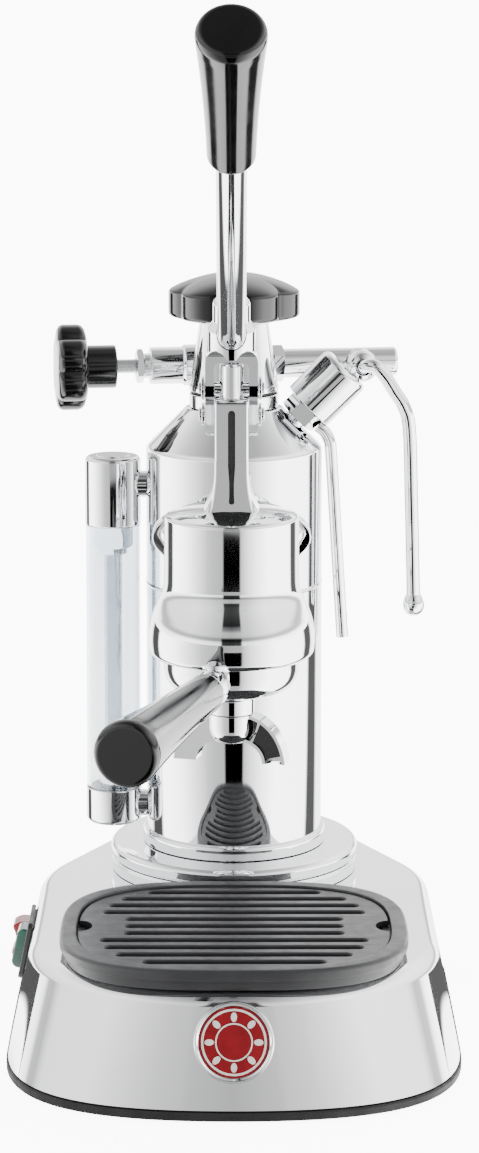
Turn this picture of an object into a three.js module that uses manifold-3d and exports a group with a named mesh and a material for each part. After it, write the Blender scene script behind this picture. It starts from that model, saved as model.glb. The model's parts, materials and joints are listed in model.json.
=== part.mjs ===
// Chrome lever espresso machine, modelled in millimetres with +Z up and the front facing -Y.
// The origin is on the table, at the middle of the machine's outline.
import * as THREE from "three";
import { mergeVertices } from "three/addons/utils/BufferGeometryUtils.js";
import Module from "manifold-3d";

const wasm = await Module();
wasm.setup();

// ---------------------------------------------------------------- driving dimensions, mm and degrees

const BOILER_AXIS_Y = 91.4; // how far the boiler axis stands behind the part's origin
const GAP = 0.3; // air left between neighbouring pieces
const WIDE_SIDES = 24; // sides of the widest round pieces
const ROUND_SIDES = 18;
const SMALL_SIDES = 12;
const FINE_SIDES = 8; // sides of bores and bars
const DECK_Z = 49; // top of the base
const SHELL_FOOT_Z = 5; // lower edge of the chrome base
const SHELL_WALL = 1.6;
const BASE_BOTTOM = {
  front: -200,
  frontPull: [66, -200],
  sidePull: [95, -178],
  side: [95, -125],
  shoulder: [95, 0],
  heel: [57, 70],
};
const BASE_TOP = {
  front: -185,
  frontPull: [45, -185],
  sidePull: [86, -150],
  side: [86, -118],
  shoulder: [86, -10],
  heel: [50, 60],
};
const BASE_CENTRE_Y = -75; // middle of the base, which insets shrink towards

const BOILER_R = 39.5;
const BOILER_WALL = 2;
const BOILER_FOOT_Z = 40;
const SHOULDER_Z = 242.5; // where the boiler's 45 degree shoulder starts
const SHOULDER_TOP_R = 21.7;
const NECK_TOP_Z = 266.6;
const FLANGE_R = 56;
const CAP_KNOB_TURN = -7;

const GROUP_X = -1;
const GROUP_Y = -95; // axis of the brewing group, in front of the boiler axis
const CYLINDER_R = 28.5;
const BELL_R = 35.2;
const BELL_BOTTOM_Z = 168;
const GROUP_TOP_Z = 231;
const GROUP_FLANGE_Z = 214;

const FULCRUM_Y = -79; // lever fulcrum, behind the piston rod
const FULCRUM_Z = 268.7;
const ROD_PIN_Z = 282.5; // crosshead pin with the lever up
const ROD_R = 5.15;
const POST_HALF = 7; // half width of the lever post
const POST_TOP_Z = 278.5;
const LEG_THICKNESS = 3.8;
const STEM_ANGLE = 41; // lever above the horizontal, at rest
const STEM_R = 6.1;
const STEM_LENGTH = 137;
const GRIP_START = 130; // along the stem, from its inner end

const PORTAFILTER_TURN = -14; // handle to the left of straight ahead, at rest
const RING_R = 28.75;
const PORTAFILTER_HANDLE_Z = 161;

const GAUGE_X = -54.5;
const STEAM_Y = 32;
const STEAM_Z = 275;
const STEAM_YAW = 8;
const WAND_JOINT_X = 57;
const SAFETY_X = 29;
const SAFETY_Z = 256;

const TRAY_CENTRE_Y = -121.5;
const TRAY_HALF = [73, 63.5];
const TRAY_POWER = 3; // exponent of the tray's rounded outline
const SLOT_PITCH = 9.7;
const SLOT_WIDTH = 4.6;

const SWITCH_Y = -65;
const SWITCH_Z = 33;
const ROCKER_TILT = 8;

// ---------------------------------------------------------------- materials

const FINISHES = {
  chrome: { color: 0xd9dbdd, roughness: 0.07, metalness: 1 },
  steel: { color: 0xb9bcc0, roughness: 0.3, metalness: 1 },
  brass: { color: 0xc9a55a, roughness: 0.35, metalness: 1 },
  bakelite: { color: 0x111112, roughness: 0.16, metalness: 0 },
  tray: { color: 0x3d3e41, roughness: 0.45, metalness: 0 },
  blackPlastic: { color: 0x17181a, roughness: 0.5, metalness: 0 },
  rubber: { color: 0x1c1c1d, roughness: 0.8, metalness: 0 },
  seal: { color: 0x2a2523, roughness: 0.7, metalness: 0 },
  glass: { color: 0xeaf2f2, roughness: 0.04, metalness: 0, transparent: true, opacity: 0.35 },
  enamel: { color: 0x9c1f26, roughness: 0.2, metalness: 0 },
  red: { color: 0xd0231c, roughness: 0.3, metalness: 0 },
  green: { color: 0x0f7a4d, roughness: 0.2, metalness: 0 },
};

// ---------------------------------------------------------------- helpers

const radians = THREE.MathUtils.degToRad;

// A closed geometry as a solid that can be joined and cut.
function solid(geometry) {
  const bare = geometry.index ? geometry.toNonIndexed() : geometry.clone();
  bare.deleteAttribute("normal");
  bare.deleteAttribute("uv");
  const merged = mergeVertices(bare, 1e-4);
  const mesh = new wasm.Mesh({
    numProp: 3,
    vertProperties: merged.attributes.position.array,
    triVerts: new Uint32Array(merged.index.array),
  });
  return new wasm.Manifold(mesh);
}

function geometryOf(body) {
  const mesh = body.getMesh();
  const geometry = new THREE.BufferGeometry();
  geometry.setAttribute("position", new THREE.BufferAttribute(mesh.vertProperties, 3));
  geometry.setIndex(new THREE.BufferAttribute(mesh.triVerts, 1));
  return geometry;
}

function join(...geometries) {
  return geometries.map(solid).reduce((all, next) => all.add(next));
}

function cut(body, ...geometries) {
  return geometries.map(solid).reduce((left, tool) => left.subtract(tool), body);
}

// A named mesh from a geometry or from a joined and cut solid.
function piece(name, shape, finish) {
  const geometry = shape.isBufferGeometry ? shape : geometryOf(shape);
  const mesh = new THREE.Mesh(geometry, new THREE.MeshStandardMaterial(FINISHES[finish]));
  mesh.name = name;
  return mesh;
}

function groupAt(x, y, z, ...children) {
  const group = new THREE.Group();
  group.position.set(x, y, z);
  group.add(...children);
  return group;
}

// Turned about Z. The profile is [radius, height] pairs, from the axis outwards and up, or closed on itself.
function turned(profile, segments = ROUND_SIDES) {
  const points = profile.map(([r, z]) => new THREE.Vector2(r, z));
  return new THREE.LatheGeometry(points, segments).rotateX(Math.PI / 2);
}

function ring(outer, inner, bottom, top, segments = ROUND_SIDES) {
  const profile = [[inner, bottom], [outer, bottom], [outer, top], [inner, top], [inner, bottom]];
  return turned(profile, segments);
}

function disc(radius, bottom, top, segments = ROUND_SIDES) {
  return turned([[0, bottom], [radius, bottom], [radius, top], [0, top]], segments);
}

// Moves a shape made along +Z so that it starts at a point and runs along a direction.
function aimed(geometry, start, direction) {
  const towards = new THREE.Vector3(...direction).normalize();
  const turn = new THREE.Quaternion().setFromUnitVectors(new THREE.Vector3(0, 0, 1), towards);
  return geometry.applyQuaternion(turn).translate(...start);
}

function rod(start, end, radius, segments = SMALL_SIDES) {
  const span = new THREE.Vector3(...end).sub(new THREE.Vector3(...start));
  return aimed(disc(radius, 0, span.length(), segments), start, span.toArray());
}

function block(low, high) {
  const size = high.map((value, i) => value - low[i]);
  const centre = high.map((value, i) => (value + low[i]) / 2);
  return new THREE.BoxGeometry(...size).translate(...centre);
}

// A flat outline of [x, y] pairs, made solid along +Z.
function slab(outline, depth) {
  const shape = new THREE.Shape(outline.map(([x, y]) => new THREE.Vector2(x, y)));
  return new THREE.ExtrudeGeometry(shape, { depth, bevelEnabled: false });
}

// A side view outline of [y, z] pairs, made solid from x0 to x1.
function sideSlab(outline, x0, x1) {
  const axes = [new THREE.Vector3(0, 1, 0), new THREE.Vector3(0, 0, 1), new THREE.Vector3(1, 0, 0)];
  const turn = new THREE.Matrix4().makeBasis(...axes);
  return slab(outline, x1 - x0).applyMatrix4(turn).translate(x0, 0, 0);
}

// A front view outline of [x, z] pairs, made solid over a thickness centred on y = 0.
function frontSlab(outline, thickness) {
  return slab(outline, thickness).rotateX(Math.PI / 2).translate(0, thickness / 2, 0);
}

function arc(centre, radius, from, to, steps = 8) {
  return Array.from({ length: steps + 1 }, (_, i) => {
    const angle = radians(from + ((to - from) * i) / steps);
    return [centre[0] + radius * Math.cos(angle), centre[1] + radius * Math.sin(angle)];
  });
}

function stadium(length, width, steps = 6) {
  const reach = (length - width) / 2;
  return [...arc([reach, 0], width / 2, -90, 90, steps), ...arc([-reach, 0], width / 2, 90, 270, steps)];
}

// A round bar along a smooth path.
function bar(path, radius, steps, sides = 10) {
  const round = new THREE.Shape(arc([0, 0], radius, 0, 360 - 360 / sides, sides - 1)
    .map(([x, y]) => new THREE.Vector2(x, y)));
  return new THREE.ExtrudeGeometry(round, { steps, extrudePath: path, bevelEnabled: false });
}

function smoothPath(points) {
  return new THREE.CatmullRomCurve3(points.map((point) => new THREE.Vector3(...point)), false, "centripetal");
}

// A skin through a stack of outlines of [x, y] pairs, one for each height, closed at both ends.
function loft(outlines, heights) {
  const count = outlines[0].length;
  const corners = [];
  const rowPoint = (row, i) => [...outlines[row][i % count], heights[row]];
  const middle = (row) => {
    const sum = outlines[row].reduce(([x, y], point) => [x + point[0], y + point[1]], [0, 0]);
    return [sum[0] / count, sum[1] / count, heights[row]];
  };
  for (let i = 0; i < count; i++) {
    for (let row = 0; row + 1 < outlines.length; row++) {
      corners.push(rowPoint(row, i), rowPoint(row, i + 1), rowPoint(row + 1, i + 1));
      corners.push(rowPoint(row, i), rowPoint(row + 1, i + 1), rowPoint(row + 1, i));
    }
    corners.push(middle(0), rowPoint(0, i + 1), rowPoint(0, i));
    const last = outlines.length - 1;
    corners.push(middle(last), rowPoint(last, i), rowPoint(last, i + 1));
  }
  const geometry = new THREE.BufferGeometry();
  geometry.setAttribute("position", new THREE.Float32BufferAttribute(corners.flat(), 3));
  return geometry;
}

// ---------------------------------------------------------------- base

// Half of the base's outline, from the front centre round the right side to the rear centre.
function halfOutline(plan) {
  const path = new THREE.Path();
  const [sx, sy] = plan.shoulder;
  const [hx, hy] = plan.heel;
  const length = Math.hypot(sx - hx, sy - hy);
  const towardsHeel = [(hx - sx) / length, (hy - sy) / length];
  const shoulderEnd = [sx + 18 * towardsHeel[0], sy + 18 * towardsHeel[1]];
  const heelStart = [hx - 12 * towardsHeel[0], hy - 12 * towardsHeel[1]];
  path.moveTo(0, plan.front);
  path.bezierCurveTo(...plan.frontPull, ...plan.sidePull, ...plan.side);
  path.lineTo(sx, sy - 18);
  path.quadraticCurveTo(sx, sy, ...shoulderEnd);
  path.lineTo(...heelStart);
  path.quadraticCurveTo(hx, hy, hx - 12, hy);
  path.lineTo(0, hy);
  return path.getPoints(4).map((point) => [point.x, point.y]);
}

// The base's outline at a level from 0, its foot, to 1, its deck, pulled in by an inset.
function baseOutline(level, inset) {
  const low = halfOutline(BASE_BOTTOM);
  const high = halfOutline(BASE_TOP);
  const right = low.map(([x, y], i) => [x + (high[i][0] - x) * level, y + (high[i][1] - y) * level]);
  const left = right.slice(1, -1).reverse().map(([x, y]) => [-x, y]);
  return [...right, ...left].map(([x, y]) => {
    const reach = Math.hypot(x, y - BASE_CENTRE_Y);
    const scale = 1 - inset / reach;
    return [x * scale, BASE_CENTRE_Y + (y - BASE_CENTRE_Y) * scale];
  });
}

// Stands a shape on the left wall of the base: x forwards, y up the wall, z outwards.
function onSwitchWall(object) {
  const lean = Math.atan((BASE_BOTTOM.side[0] - BASE_TOP.side[0]) / (DECK_Z - SHELL_FOOT_Z));
  const up = new THREE.Vector3(Math.sin(lean), 0, Math.cos(lean));
  const out = new THREE.Vector3(-Math.cos(lean), 0, Math.sin(lean));
  const level = (SWITCH_Z - SHELL_FOOT_Z) / (DECK_Z - SHELL_FOOT_Z);
  const wallX = -(BASE_BOTTOM.side[0] + (BASE_TOP.side[0] - BASE_BOTTOM.side[0]) * level);
  const place = new THREE.Matrix4().makeBasis(new THREE.Vector3(0, -1, 0), up, out);
  return object.applyMatrix4(place.setPosition(wallX, SWITCH_Y, SWITCH_Z));
}

const rearLean = Math.atan((BASE_BOTTOM.heel[1] - BASE_TOP.heel[1]) / (DECK_Z - SHELL_FOOT_Z));
const INLET_Z = 22;
const INLET_Y = BASE_BOTTOM.heel[1] - (INLET_Z - SHELL_FOOT_Z) * Math.tan(rearLean);
const INLET_AIM = [0, Math.cos(rearLean), Math.sin(rearLean)];

function baseShell() {
  const height = DECK_Z - SHELL_FOOT_Z;
  const level = (z) => (z - SHELL_FOOT_Z) / height;
  const outer = loft(
    [baseOutline(0, 0), baseOutline(level(44.5), 0), baseOutline(level(47.8), 1.3), baseOutline(1, 4.2)],
    [SHELL_FOOT_Z, 44.5, 47.8, DECK_Z],
  );
  const ceiling = DECK_Z - SHELL_WALL;
  const inner = loft(
    [baseOutline(0, SHELL_WALL), baseOutline(level(43.5), SHELL_WALL), baseOutline(level(ceiling), 4.5)],
    [SHELL_FOOT_Z - 1, 43.5, ceiling],
  );
  const boilerHole = disc(BOILER_R + 1.2, DECK_Z - 6, DECK_Z + 2, WIDE_SIDES);
  const switchHole = onSwitchWall(block([-14.3, -10.8, -8], [14.3, 10.8, 4]));
  const inletHole = rod([0, INLET_Y - 8, INLET_Z], [0, INLET_Y + 4, INLET_Z], 7, SMALL_SIDES);
  return piece("base_shell", cut(solid(outer), inner, boilerHole, switchHole, inletHole), "chrome");
}

function baseTrim() {
  const outer = loft([baseOutline(0, -0.8), baseOutline(0, -0.8)], [1.2, SHELL_FOOT_Z - GAP]);
  const inner = loft([baseOutline(0, 2.6), baseOutline(0, 2.6)], [0, SHELL_FOOT_Z + 1]);
  return piece("base_trim", cut(solid(outer), inner), "rubber");
}

function bottomCover() {
  const outline = baseOutline(0, 2.6 + GAP);
  return piece("bottom_cover", loft([outline, outline], [2.4, 4.4]), "blackPlastic");
}

function feet() {
  const places = {
    front_left: [-62, -152],
    front_right: [62, -152],
    rear_left: [-52, 28],
    rear_right: [52, 28],
  };
  return Object.entries(places).map(([name, [x, y]]) => {
    const foot = turned([[0, 0], [7.4, 0], [8.6, 1], [8.6, 2.4 - GAP], [0, 2.4 - GAP]], SMALL_SIDES);
    return piece("foot_" + name, foot.translate(x, y, 0), "rubber");
  });
}

// A round enamel badge in a raised rim, laid on the sloping front wall.
function frontBadge() {
  const slope = Math.atan((BASE_TOP.front - BASE_BOTTOM.front) / (DECK_Z - SHELL_FOOT_Z));
  const z = 31;
  const y = BASE_BOTTOM.front + (z - SHELL_FOOT_Z) * Math.tan(slope);
  const profile = [[0, 0], [15.6, 0], [16.3, 0.8], [16.3, 2.2], [15.2, 2.9], [14.2, 1.9], [0, 2.2]];
  const aim = [0, -Math.cos(slope), Math.sin(slope)];
  const badge = aimed(turned(profile, ROUND_SIDES).translate(0, 0, 0.45), [0, y, z], aim);
  return piece("front_badge", badge, "enamel");
}

function switchPanel() {
  const flange = block([-15.5, -12.5, 0.4], [15.5, 12.5, 2.4]);
  const body = block([-14, -10.5, -12], [14, 10.5, 1]);
  const wells = [block([0.8, -9.2, -9], [13, 9.2, 4]), block([-13, -9.2, -9], [-0.8, 9.2, 4])];
  const bezel = geometryOf(cut(join(flange, body), ...wells));
  const lens = [[-8.8, -8.5], [8.8, -8.5], [8.8, 4.6], [7, 6.4], [-7, 6.4], [-8.8, 4.6]];
  const lamp = sideSlab(lens, 1.2, 12.6);
  return [
    piece("switch_bezel", onSwitchWall(bezel), "blackPlastic"),
    piece("power_lamp", onSwitchWall(lamp), "green"),
  ];
}

const ROCKER_PIVOT = -1; // height of the rocker's axis over the wall

function powerSwitch() {
  const outline = [[-8.4, -3], [8.4, -3], [8.4, 5.5], [6.5, 9.4], [0, 6.6], [-6.5, 9.4], [-8.4, 5.5]];
  const rocker = sideSlab(outline, -12.6, -1.2).rotateX(radians(ROCKER_TILT));
  return piece("power_switch", onSwitchWall(rocker.translate(0, 0, ROCKER_PIVOT)), "red");
}

function cableInlet() {
  const profile = [
    [3.5, -5], [6, -5], [6, 0.5], [9, 0.5], [9, 3], [6.6, 4], [5.6, 11], [3.5, 11], [3.5, -5],
  ];
  const inlet = aimed(turned(profile, SMALL_SIDES), [0, INLET_Y, INLET_Z], INLET_AIM);
  return piece("cable_inlet", inlet, "blackPlastic");
}

// ---------------------------------------------------------------- boiler

// The boiler's outer form grown by a margin, to fit branches against it.
function boilerEnvelope(margin) {
  const grow = margin * Math.SQRT2;
  return turned([
    [0, BOILER_FOOT_Z],
    [BOILER_R + margin, BOILER_FOOT_Z],
    [BOILER_R + margin, SHOULDER_Z + grow - margin],
    [SHOULDER_TOP_R, SHOULDER_Z + BOILER_R - SHOULDER_TOP_R + grow],
    [0, SHOULDER_Z + BOILER_R - SHOULDER_TOP_R + grow],
  ], WIDE_SIDES);
}

function boilerShell() {
  const inner = BOILER_R - BOILER_WALL;
  const topZ = SHOULDER_Z + BOILER_R - SHOULDER_TOP_R;
  const shell = turned([
    [inner, BOILER_FOOT_Z], [BOILER_R, BOILER_FOOT_Z], [BOILER_R, 62], [41.4, 62], [41.4, 67],
    [40.4, 68.2], [BOILER_R, 68.2], [BOILER_R, 180], [40.1, 181], [BOILER_R, 182],
    [BOILER_R, SHOULDER_Z], [SHOULDER_TOP_R, topZ], [17, topZ], [17, topZ - 2.4], [20.5, topZ - 2.4],
    [inner, SHOULDER_Z - 0.8], [inner, 48], [33.5, 48], [33.5, 46], [inner, 46], [inner, BOILER_FOOT_Z],
  ], WIDE_SIDES);
  const along = Math.SQRT1_2;
  const safety = [SAFETY_X - 12 * along, 0, SAFETY_Z - 12 * along];
  const holes = [
    rod([GROUP_X, -30, GROUP_FLANGE_Z - 4], [GROUP_X, -45, GROUP_FLANGE_Z - 4], 6, FINE_SIDES),
    rod([-30, 0, 225], [-45, 0, 225], 3.4, FINE_SIDES),
    rod([-30, 0, 78], [-45, 0, 78], 3.4, FINE_SIDES),
    rod(safety, [SAFETY_X + 6 * along, 0, SAFETY_Z + 6 * along], 5.4, FINE_SIDES),
    rod([0, STEAM_Y, 236], [0, STEAM_Y, 262], 3, FINE_SIDES),
  ];
  return piece("boiler_shell", cut(solid(shell), ...holes), "chrome");
}

function boilerFoot() {
  const flange = turned([
    [40, 55], [54.6, 55], [FLANGE_R, 56.2], [FLANGE_R, 60.2], [54.4, 61.7], [40, 61.7], [40, 55],
  ], WIDE_SIDES);
  const baseRing = turned([
    [40, DECK_Z + GAP], [55.5, DECK_Z + GAP], [55.5, 54], [54.8, 54.7], [40, 54.7], [40, DECK_Z + GAP],
  ], WIDE_SIDES);
  const neckFootZ = SHOULDER_Z + BOILER_R - SHOULDER_TOP_R + GAP;
  return [
    piece("boiler_flange", flange, "chrome"),
    piece("boiler_base_ring", baseRing, "chrome"),
    piece("boiler_locknut", ring(48, 40, 42, DECK_Z - SHELL_WALL - GAP, WIDE_SIDES), "steel"),
    piece("filler_neck", ring(20, 16.4, neckFootZ, NECK_TOP_Z), "chrome"),
  ];
}

function heatingElement() {
  const disk = disc(BOILER_R - BOILER_WALL - GAP, 41, 44, ROUND_SIDES);
  const tails = [-11, 11].map((x) => disc(3, 32, 42, FINE_SIDES).translate(x, 0, 0));
  const path = smoothPath([
    [-11, 0, 43.5], [-11, 0, 60], [-11, 0, 100], [0, 0, 114], [11, 0, 100], [11, 0, 60], [11, 0, 43.5],
  ]);
  return [
    piece("heating_element", join(disk, ...tails, bar(path, 3.4, 16, 8)), "steel"),
    piece("element_gasket", ring(36.9, 33.8, 44 + GAP, 46 - GAP, ROUND_SIDES), "seal"),
    piece("thermostat", disc(7.5, 35, 41 - GAP, FINE_SIDES).translate(0, 18, 0), "blackPlastic"),
  ];
}

function boilerCap() {
  const cone = turned([
    [0, 256], [14.6, 256], [15.9, 258], [15.9, NECK_TOP_Z + 1.4], [20.1, NECK_TOP_Z + 1.4], [20.1, 269.5],
    [15.4, 299], [0, 299],
  ], ROUND_SIDES);
  return piece("boiler_cap", cone, "steel");
}

// A lobed outline: round tips, with the hollows between them pulled in.
function lobed(radius, lobes, hollow, phase, steps) {
  return Array.from({ length: steps }, (_, i) => {
    const angle = (2 * Math.PI * i) / steps;
    const wave = 0.5 + 0.5 * Math.cos(lobes * (angle + phase));
    const reach = radius * (1 - hollow * (1 - Math.sqrt(wave)));
    return [reach * Math.cos(angle), reach * Math.sin(angle)];
  });
}

function capKnob() {
  const level = (radius) => lobed(radius, 6, 0.16, 0, 36);
  const knob = loft(
    [level(17), level(27), level(29.5), level(29.5), level(27), level(20), level(10)],
    [299 + GAP, 301, 303, 313, 315.2, 318.6, 321],
  );
  return piece("cap_knob", knob.rotateZ(radians(CAP_KNOB_TURN)), "bakelite");
}

function capGasket() {
  return piece("cap_gasket", ring(19.4, 16.4, NECK_TOP_Z + GAP, NECK_TOP_Z + 1.4 - GAP, ROUND_SIDES), "seal");
}

// ---------------------------------------------------------------- water gauge

function waterGauge() {
  const upper = cut(
    join(
      turned([[0, 207], [12.5, 207], [12.5, 236.6], [11, 238], [0, 238]], ROUND_SIDES),
      rod([0, 0, 225], [-GAUGE_X - BOILER_R + 4, 0, 225], 6, FINE_SIDES),
    ),
    disc(4.5, 200, 214, FINE_SIDES),
    boilerEnvelope(GAP).translate(-GAUGE_X, 0, 0),
  );
  const lower = cut(
    join(
      turned([[0, 70], [11, 70], [12.5, 71.4], [12.5, 86], [0, 86]], ROUND_SIDES),
      rod([0, 0, 78], [-GAUGE_X - BOILER_R + 4, 0, 78], 6, FINE_SIDES),
    ),
    disc(4.5, 80, 90, FINE_SIDES),
    boilerEnvelope(GAP).translate(-GAUGE_X, 0, 0),
  );
  return groupAt(
    GAUGE_X, 0, 0,
    piece("gauge_upper_housing", upper, "chrome"),
    piece("gauge_lower_housing", lower, "chrome"),
    piece("gauge_nut", ring(8.8, 4.6, 195, 207 - GAP, FINE_SIDES), "chrome"),
    piece("gauge_shield", ring(12.2, 10.8, 86 + GAP, 207 - GAP, ROUND_SIDES), "glass"),
    piece("gauge_tube", ring(4.1, 2.9, 81, 212, FINE_SIDES), "glass"),
  );
}

// ---------------------------------------------------------------- brewing group

const FLANGE_BOLT_X = 25.5;

// The oval joint between the boiler and the group, as a slab from one depth to another.
function ovalFlange(y0, y1) {
  const oval = Array.from({ length: 24 }, (_, i) => {
    const angle = (2 * Math.PI * i) / 24;
    return [34.5 * Math.cos(angle), 17.5 * Math.sin(angle)];
  });
  return frontSlab(oval, y1 - y0).translate(GROUP_X, (y0 + y1) / 2, GROUP_FLANGE_Z);
}

function flangeHoles() {
  return [-1, 1].map((side) => {
    const x = GROUP_X + side * FLANGE_BOLT_X;
    return rod([x, -40, GROUP_FLANGE_Z], [x, -62, GROUP_FLANGE_Z], 3.3, FINE_SIDES);
  });
}

function boilerPort() {
  const z = GROUP_FLANGE_Z - 4;
  const tube = rod([GROUP_X, -34, z], [GROUP_X, -47, z], 11.5, SMALL_SIDES);
  const bore = rod([GROUP_X, -30, z], [GROUP_X, -60, z], 5, FINE_SIDES);
  const port = cut(join(tube, ovalFlange(-51, -46)), boilerEnvelope(GAP), bore, ...flangeHoles());
  const gasket = cut(solid(ovalFlange(-52.7, -51 - GAP)), bore, ...flangeHoles());
  return [piece("boiler_port", port, "chrome"), piece("flange_gasket", gasket, "seal")];
}

function flangeBolts() {
  return [-1, 1].map((side) => {
    const x = GROUP_X + side * FLANGE_BOLT_X;
    const place = (geometry, y) => aimed(geometry, [x, y, GROUP_FLANGE_Z], [0, -1, 0]);
    const head = place(disc(6, 0, 4.6, 6), -41.1);
    const shank = place(disc(3, 0, 20, FINE_SIDES), -42);
    const nut = place(turned([[0, 0], [6.6, 0], [6.6, 5], [4.6, 8], [0, 9.4]], 6), -59 - GAP);
    return piece(side < 0 ? "flange_bolt_left" : "flange_bolt_right", join(head, shank, nut), "chrome");
  });
}

// The post that carries the lever's fulcrum, seen from the side in the group's own frame.
function leverPost() {
  const fulcrum = [FULCRUM_Y - GROUP_Y, FULCRUM_Z];
  const outline = [
    [-7, 226], [13, 226], [13, 240], [21, 258], ...arc(fulcrum, 7.5, -20, 100, 8),
    [9, POST_TOP_Z], [-5.5, POST_TOP_Z], [-7, 276.5],
  ];
  const plate = sideSlab(outline, -POST_HALF, POST_HALF);
  const skirt = loft(
    [[[-10.5, -9], [10.5, -9], [10.5, 14], [-10.5, 14]], [[-7, -7], [7, -7], [7, 13], [-7, 13]]],
    [227, 241],
  );
  return join(plate, skirt);
}

function groupBody() {
  const casting = turned([
    [29.6, BELL_BOTTOM_Z], [33.2, BELL_BOTTOM_Z], [34.7, 169], [BELL_R, 171], [BELL_R, 183.4],
    [34, 186.6], [31, 190], [29.2, 192.8], [CYLINDER_R, 196], [CYLINDER_R, 224.6], [27.3, 226.6],
    [19, 229.6], [8, GROUP_TOP_Z], [6, GROUP_TOP_Z], [6, 222], [24, 222], [24, 183.4], [27.4, 183.4],
    [27.4, 181], [32, 181], [32, 169.8], [29.6, 169.8], [29.6, BELL_BOTTOM_Z],
  ], ROUND_SIDES);
  const neckZ = GROUP_FLANGE_Z - 4;
  const neck = rod([0, 42, neckZ], [0, 25.5, neckZ], 13, SMALL_SIDES);
  const flange = ovalFlange(-59, -53).translate(-GROUP_X, -GROUP_Y, 0);
  const slotEnd = ROD_PIN_Z - 28.5;
  const cuts = [
    disc(ROD_R + GAP, 210, 290, SMALL_SIDES),
    rod([0, 60, neckZ], [0, 20, neckZ], 5, FINE_SIDES),
    ...flangeHoles().map((hole) => hole.translate(-GROUP_X, -GROUP_Y, 0)),
    block([-12, -2.9, slotEnd], [12, 2.9, POST_TOP_Z + 4]),
    rod([-12, FULCRUM_Y - GROUP_Y, FULCRUM_Z], [12, FULCRUM_Y - GROUP_Y, FULCRUM_Z], 3 + GAP, FINE_SIDES),
    block([-1.3, -9, 237], [1.3, -4, 274.2]),
  ];
  const inside = disc(23.9, 183.5, 221.9, ROUND_SIDES);
  const body = cut(join(casting, neck, flange).add(leverPost()), inside, ...cuts);
  return piece("group_body", body, "chrome");
}

function groupInside() {
  const port = rod([0, 26, 203], [0, 18, 203], 2.5, FINE_SIDES);
  const sleeve = cut(solid(ring(23.6, 22.1, 183.4 + GAP, 222 - GAP)), port);
  return [
    piece("cylinder_sleeve", sleeve, "brass"),
    piece("shower_screen", disc(27.1, 181 + GAP, 182.3, ROUND_SIDES), "steel"),
    piece("group_gasket", ring(31.6, 25.5, 177.7, 181 - GAP, ROUND_SIDES), "seal"),
  ];
}

const PISTON_BOTTOM_Z = 209;
const PISTON_TOP_Z = 221;

function pistonAssembly() {
  const groove = [18.6, PISTON_BOTTOM_Z + 4, PISTON_BOTTOM_Z + 8.6];
  const head = turned([
    [3.5, PISTON_BOTTOM_Z], [21.6, PISTON_BOTTOM_Z], [21.6, groove[1]], [groove[0], groove[1]],
    [groove[0], groove[2]], [21.6, groove[2]], [21.6, PISTON_TOP_Z], [3.5, PISTON_TOP_Z],
    [3.5, PISTON_BOTTOM_Z],
  ], ROUND_SIDES);
  const shaft = turned([
    [0, PISTON_BOTTOM_Z + 0.5], [3.2, PISTON_BOTTOM_Z + 0.5], [3.2, PISTON_TOP_Z + GAP],
    [ROD_R, PISTON_TOP_Z + GAP], [ROD_R, 292], [ROD_R - 1, 293], [0, 293],
  ], SMALL_SIDES);
  const eye = rod([-10, 0, ROD_PIN_Z], [10, 0, ROD_PIN_Z], 2.5 + GAP, FINE_SIDES);
  return [
    piece("piston_head", head, "brass"),
    piece("piston_seal", ring(21.85, 18.9, groove[1] + GAP, groove[2] - GAP, ROUND_SIDES), "seal"),
    piece("piston_rod", cut(solid(shaft), eye), "chrome"),
    piece("crosshead_pin", clippedPin(2.5).translate(0, 0, ROD_PIN_Z), "chrome"),
  ];
}

// A pin along x with a retaining clip outside each leg of the fork.
function clippedPin(radius) {
  const clip = POST_HALF + GAP + LEG_THICKNESS + GAP;
  const half = [[clip, radius], [clip, 5], [clip + 1.3, 5], [clip + 1.3, radius], [clip + 2.6, radius]];
  const right = half.map(([x, r]) => [r, x]);
  const left = right.map(([r, x]) => [r, -x]).reverse();
  const profile = [[0, -clip - 2.6], ...left, ...right, [0, clip + 2.6]];
  return turned(profile, FINE_SIDES).rotateY(Math.PI / 2);
}

// ---------------------------------------------------------------- lever, with its fulcrum at the origin

const STEM_AIM = [0, -Math.cos(radians(STEM_ANGLE)), Math.sin(radians(STEM_ANGLE))];
const STEM_START = [0, -18.7, 33.7];

function leverFork() {
  const outline = [
    ...arc([0, 0], 9, 49, -131, FINE_SIDES),
    [-19.6, 5.7], [-22.6, 9.5], [-24, 14], [-24, 30.5], [-4, 30.5], [-4, 24],
  ].reverse();
  const innerX = POST_HALF + GAP;
  const outerX = innerX + LEG_THICKNESS;
  const legs = [sideSlab(outline, innerX, outerX), sideSlab(outline, -outerX, -innerX)];
  const bridge = block([-outerX, -24, 25.6], [outerX, -4, 30.4]);
  const crown = turned([
    [0, 0], [10.3, 0], [10.3, 11], [7.9, 14.5], [7.9, 23], [6.6, 24.6], [0, 24.6],
  ]);
  const crownAim = [0, -Math.sin(radians(10)), Math.cos(radians(10))];
  const slot = sideSlab(stadium(11.8, 7.8), -20, 20).rotateX(radians(180 - 40.8));
  const slotCentre = [0, -18.55 * Math.cos(radians(40.8)), 18.55 * Math.sin(radians(40.8))];
  const reach = (distance) => STEM_START.map((value, i) => value + distance * STEM_AIM[i]);
  const fork = cut(
    join(...legs, bridge, aimed(crown, [0, -14, 28], crownAim)),
    slot.translate(...slotCentre),
    rod([-20, 0, 0], [20, 0, 0], 3 + GAP, FINE_SIDES),
    rod(reach(-GAP), reach(60), STEM_R + GAP, SMALL_SIDES),
  );
  return piece("lever_fork", fork, "chrome");
}

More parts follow.
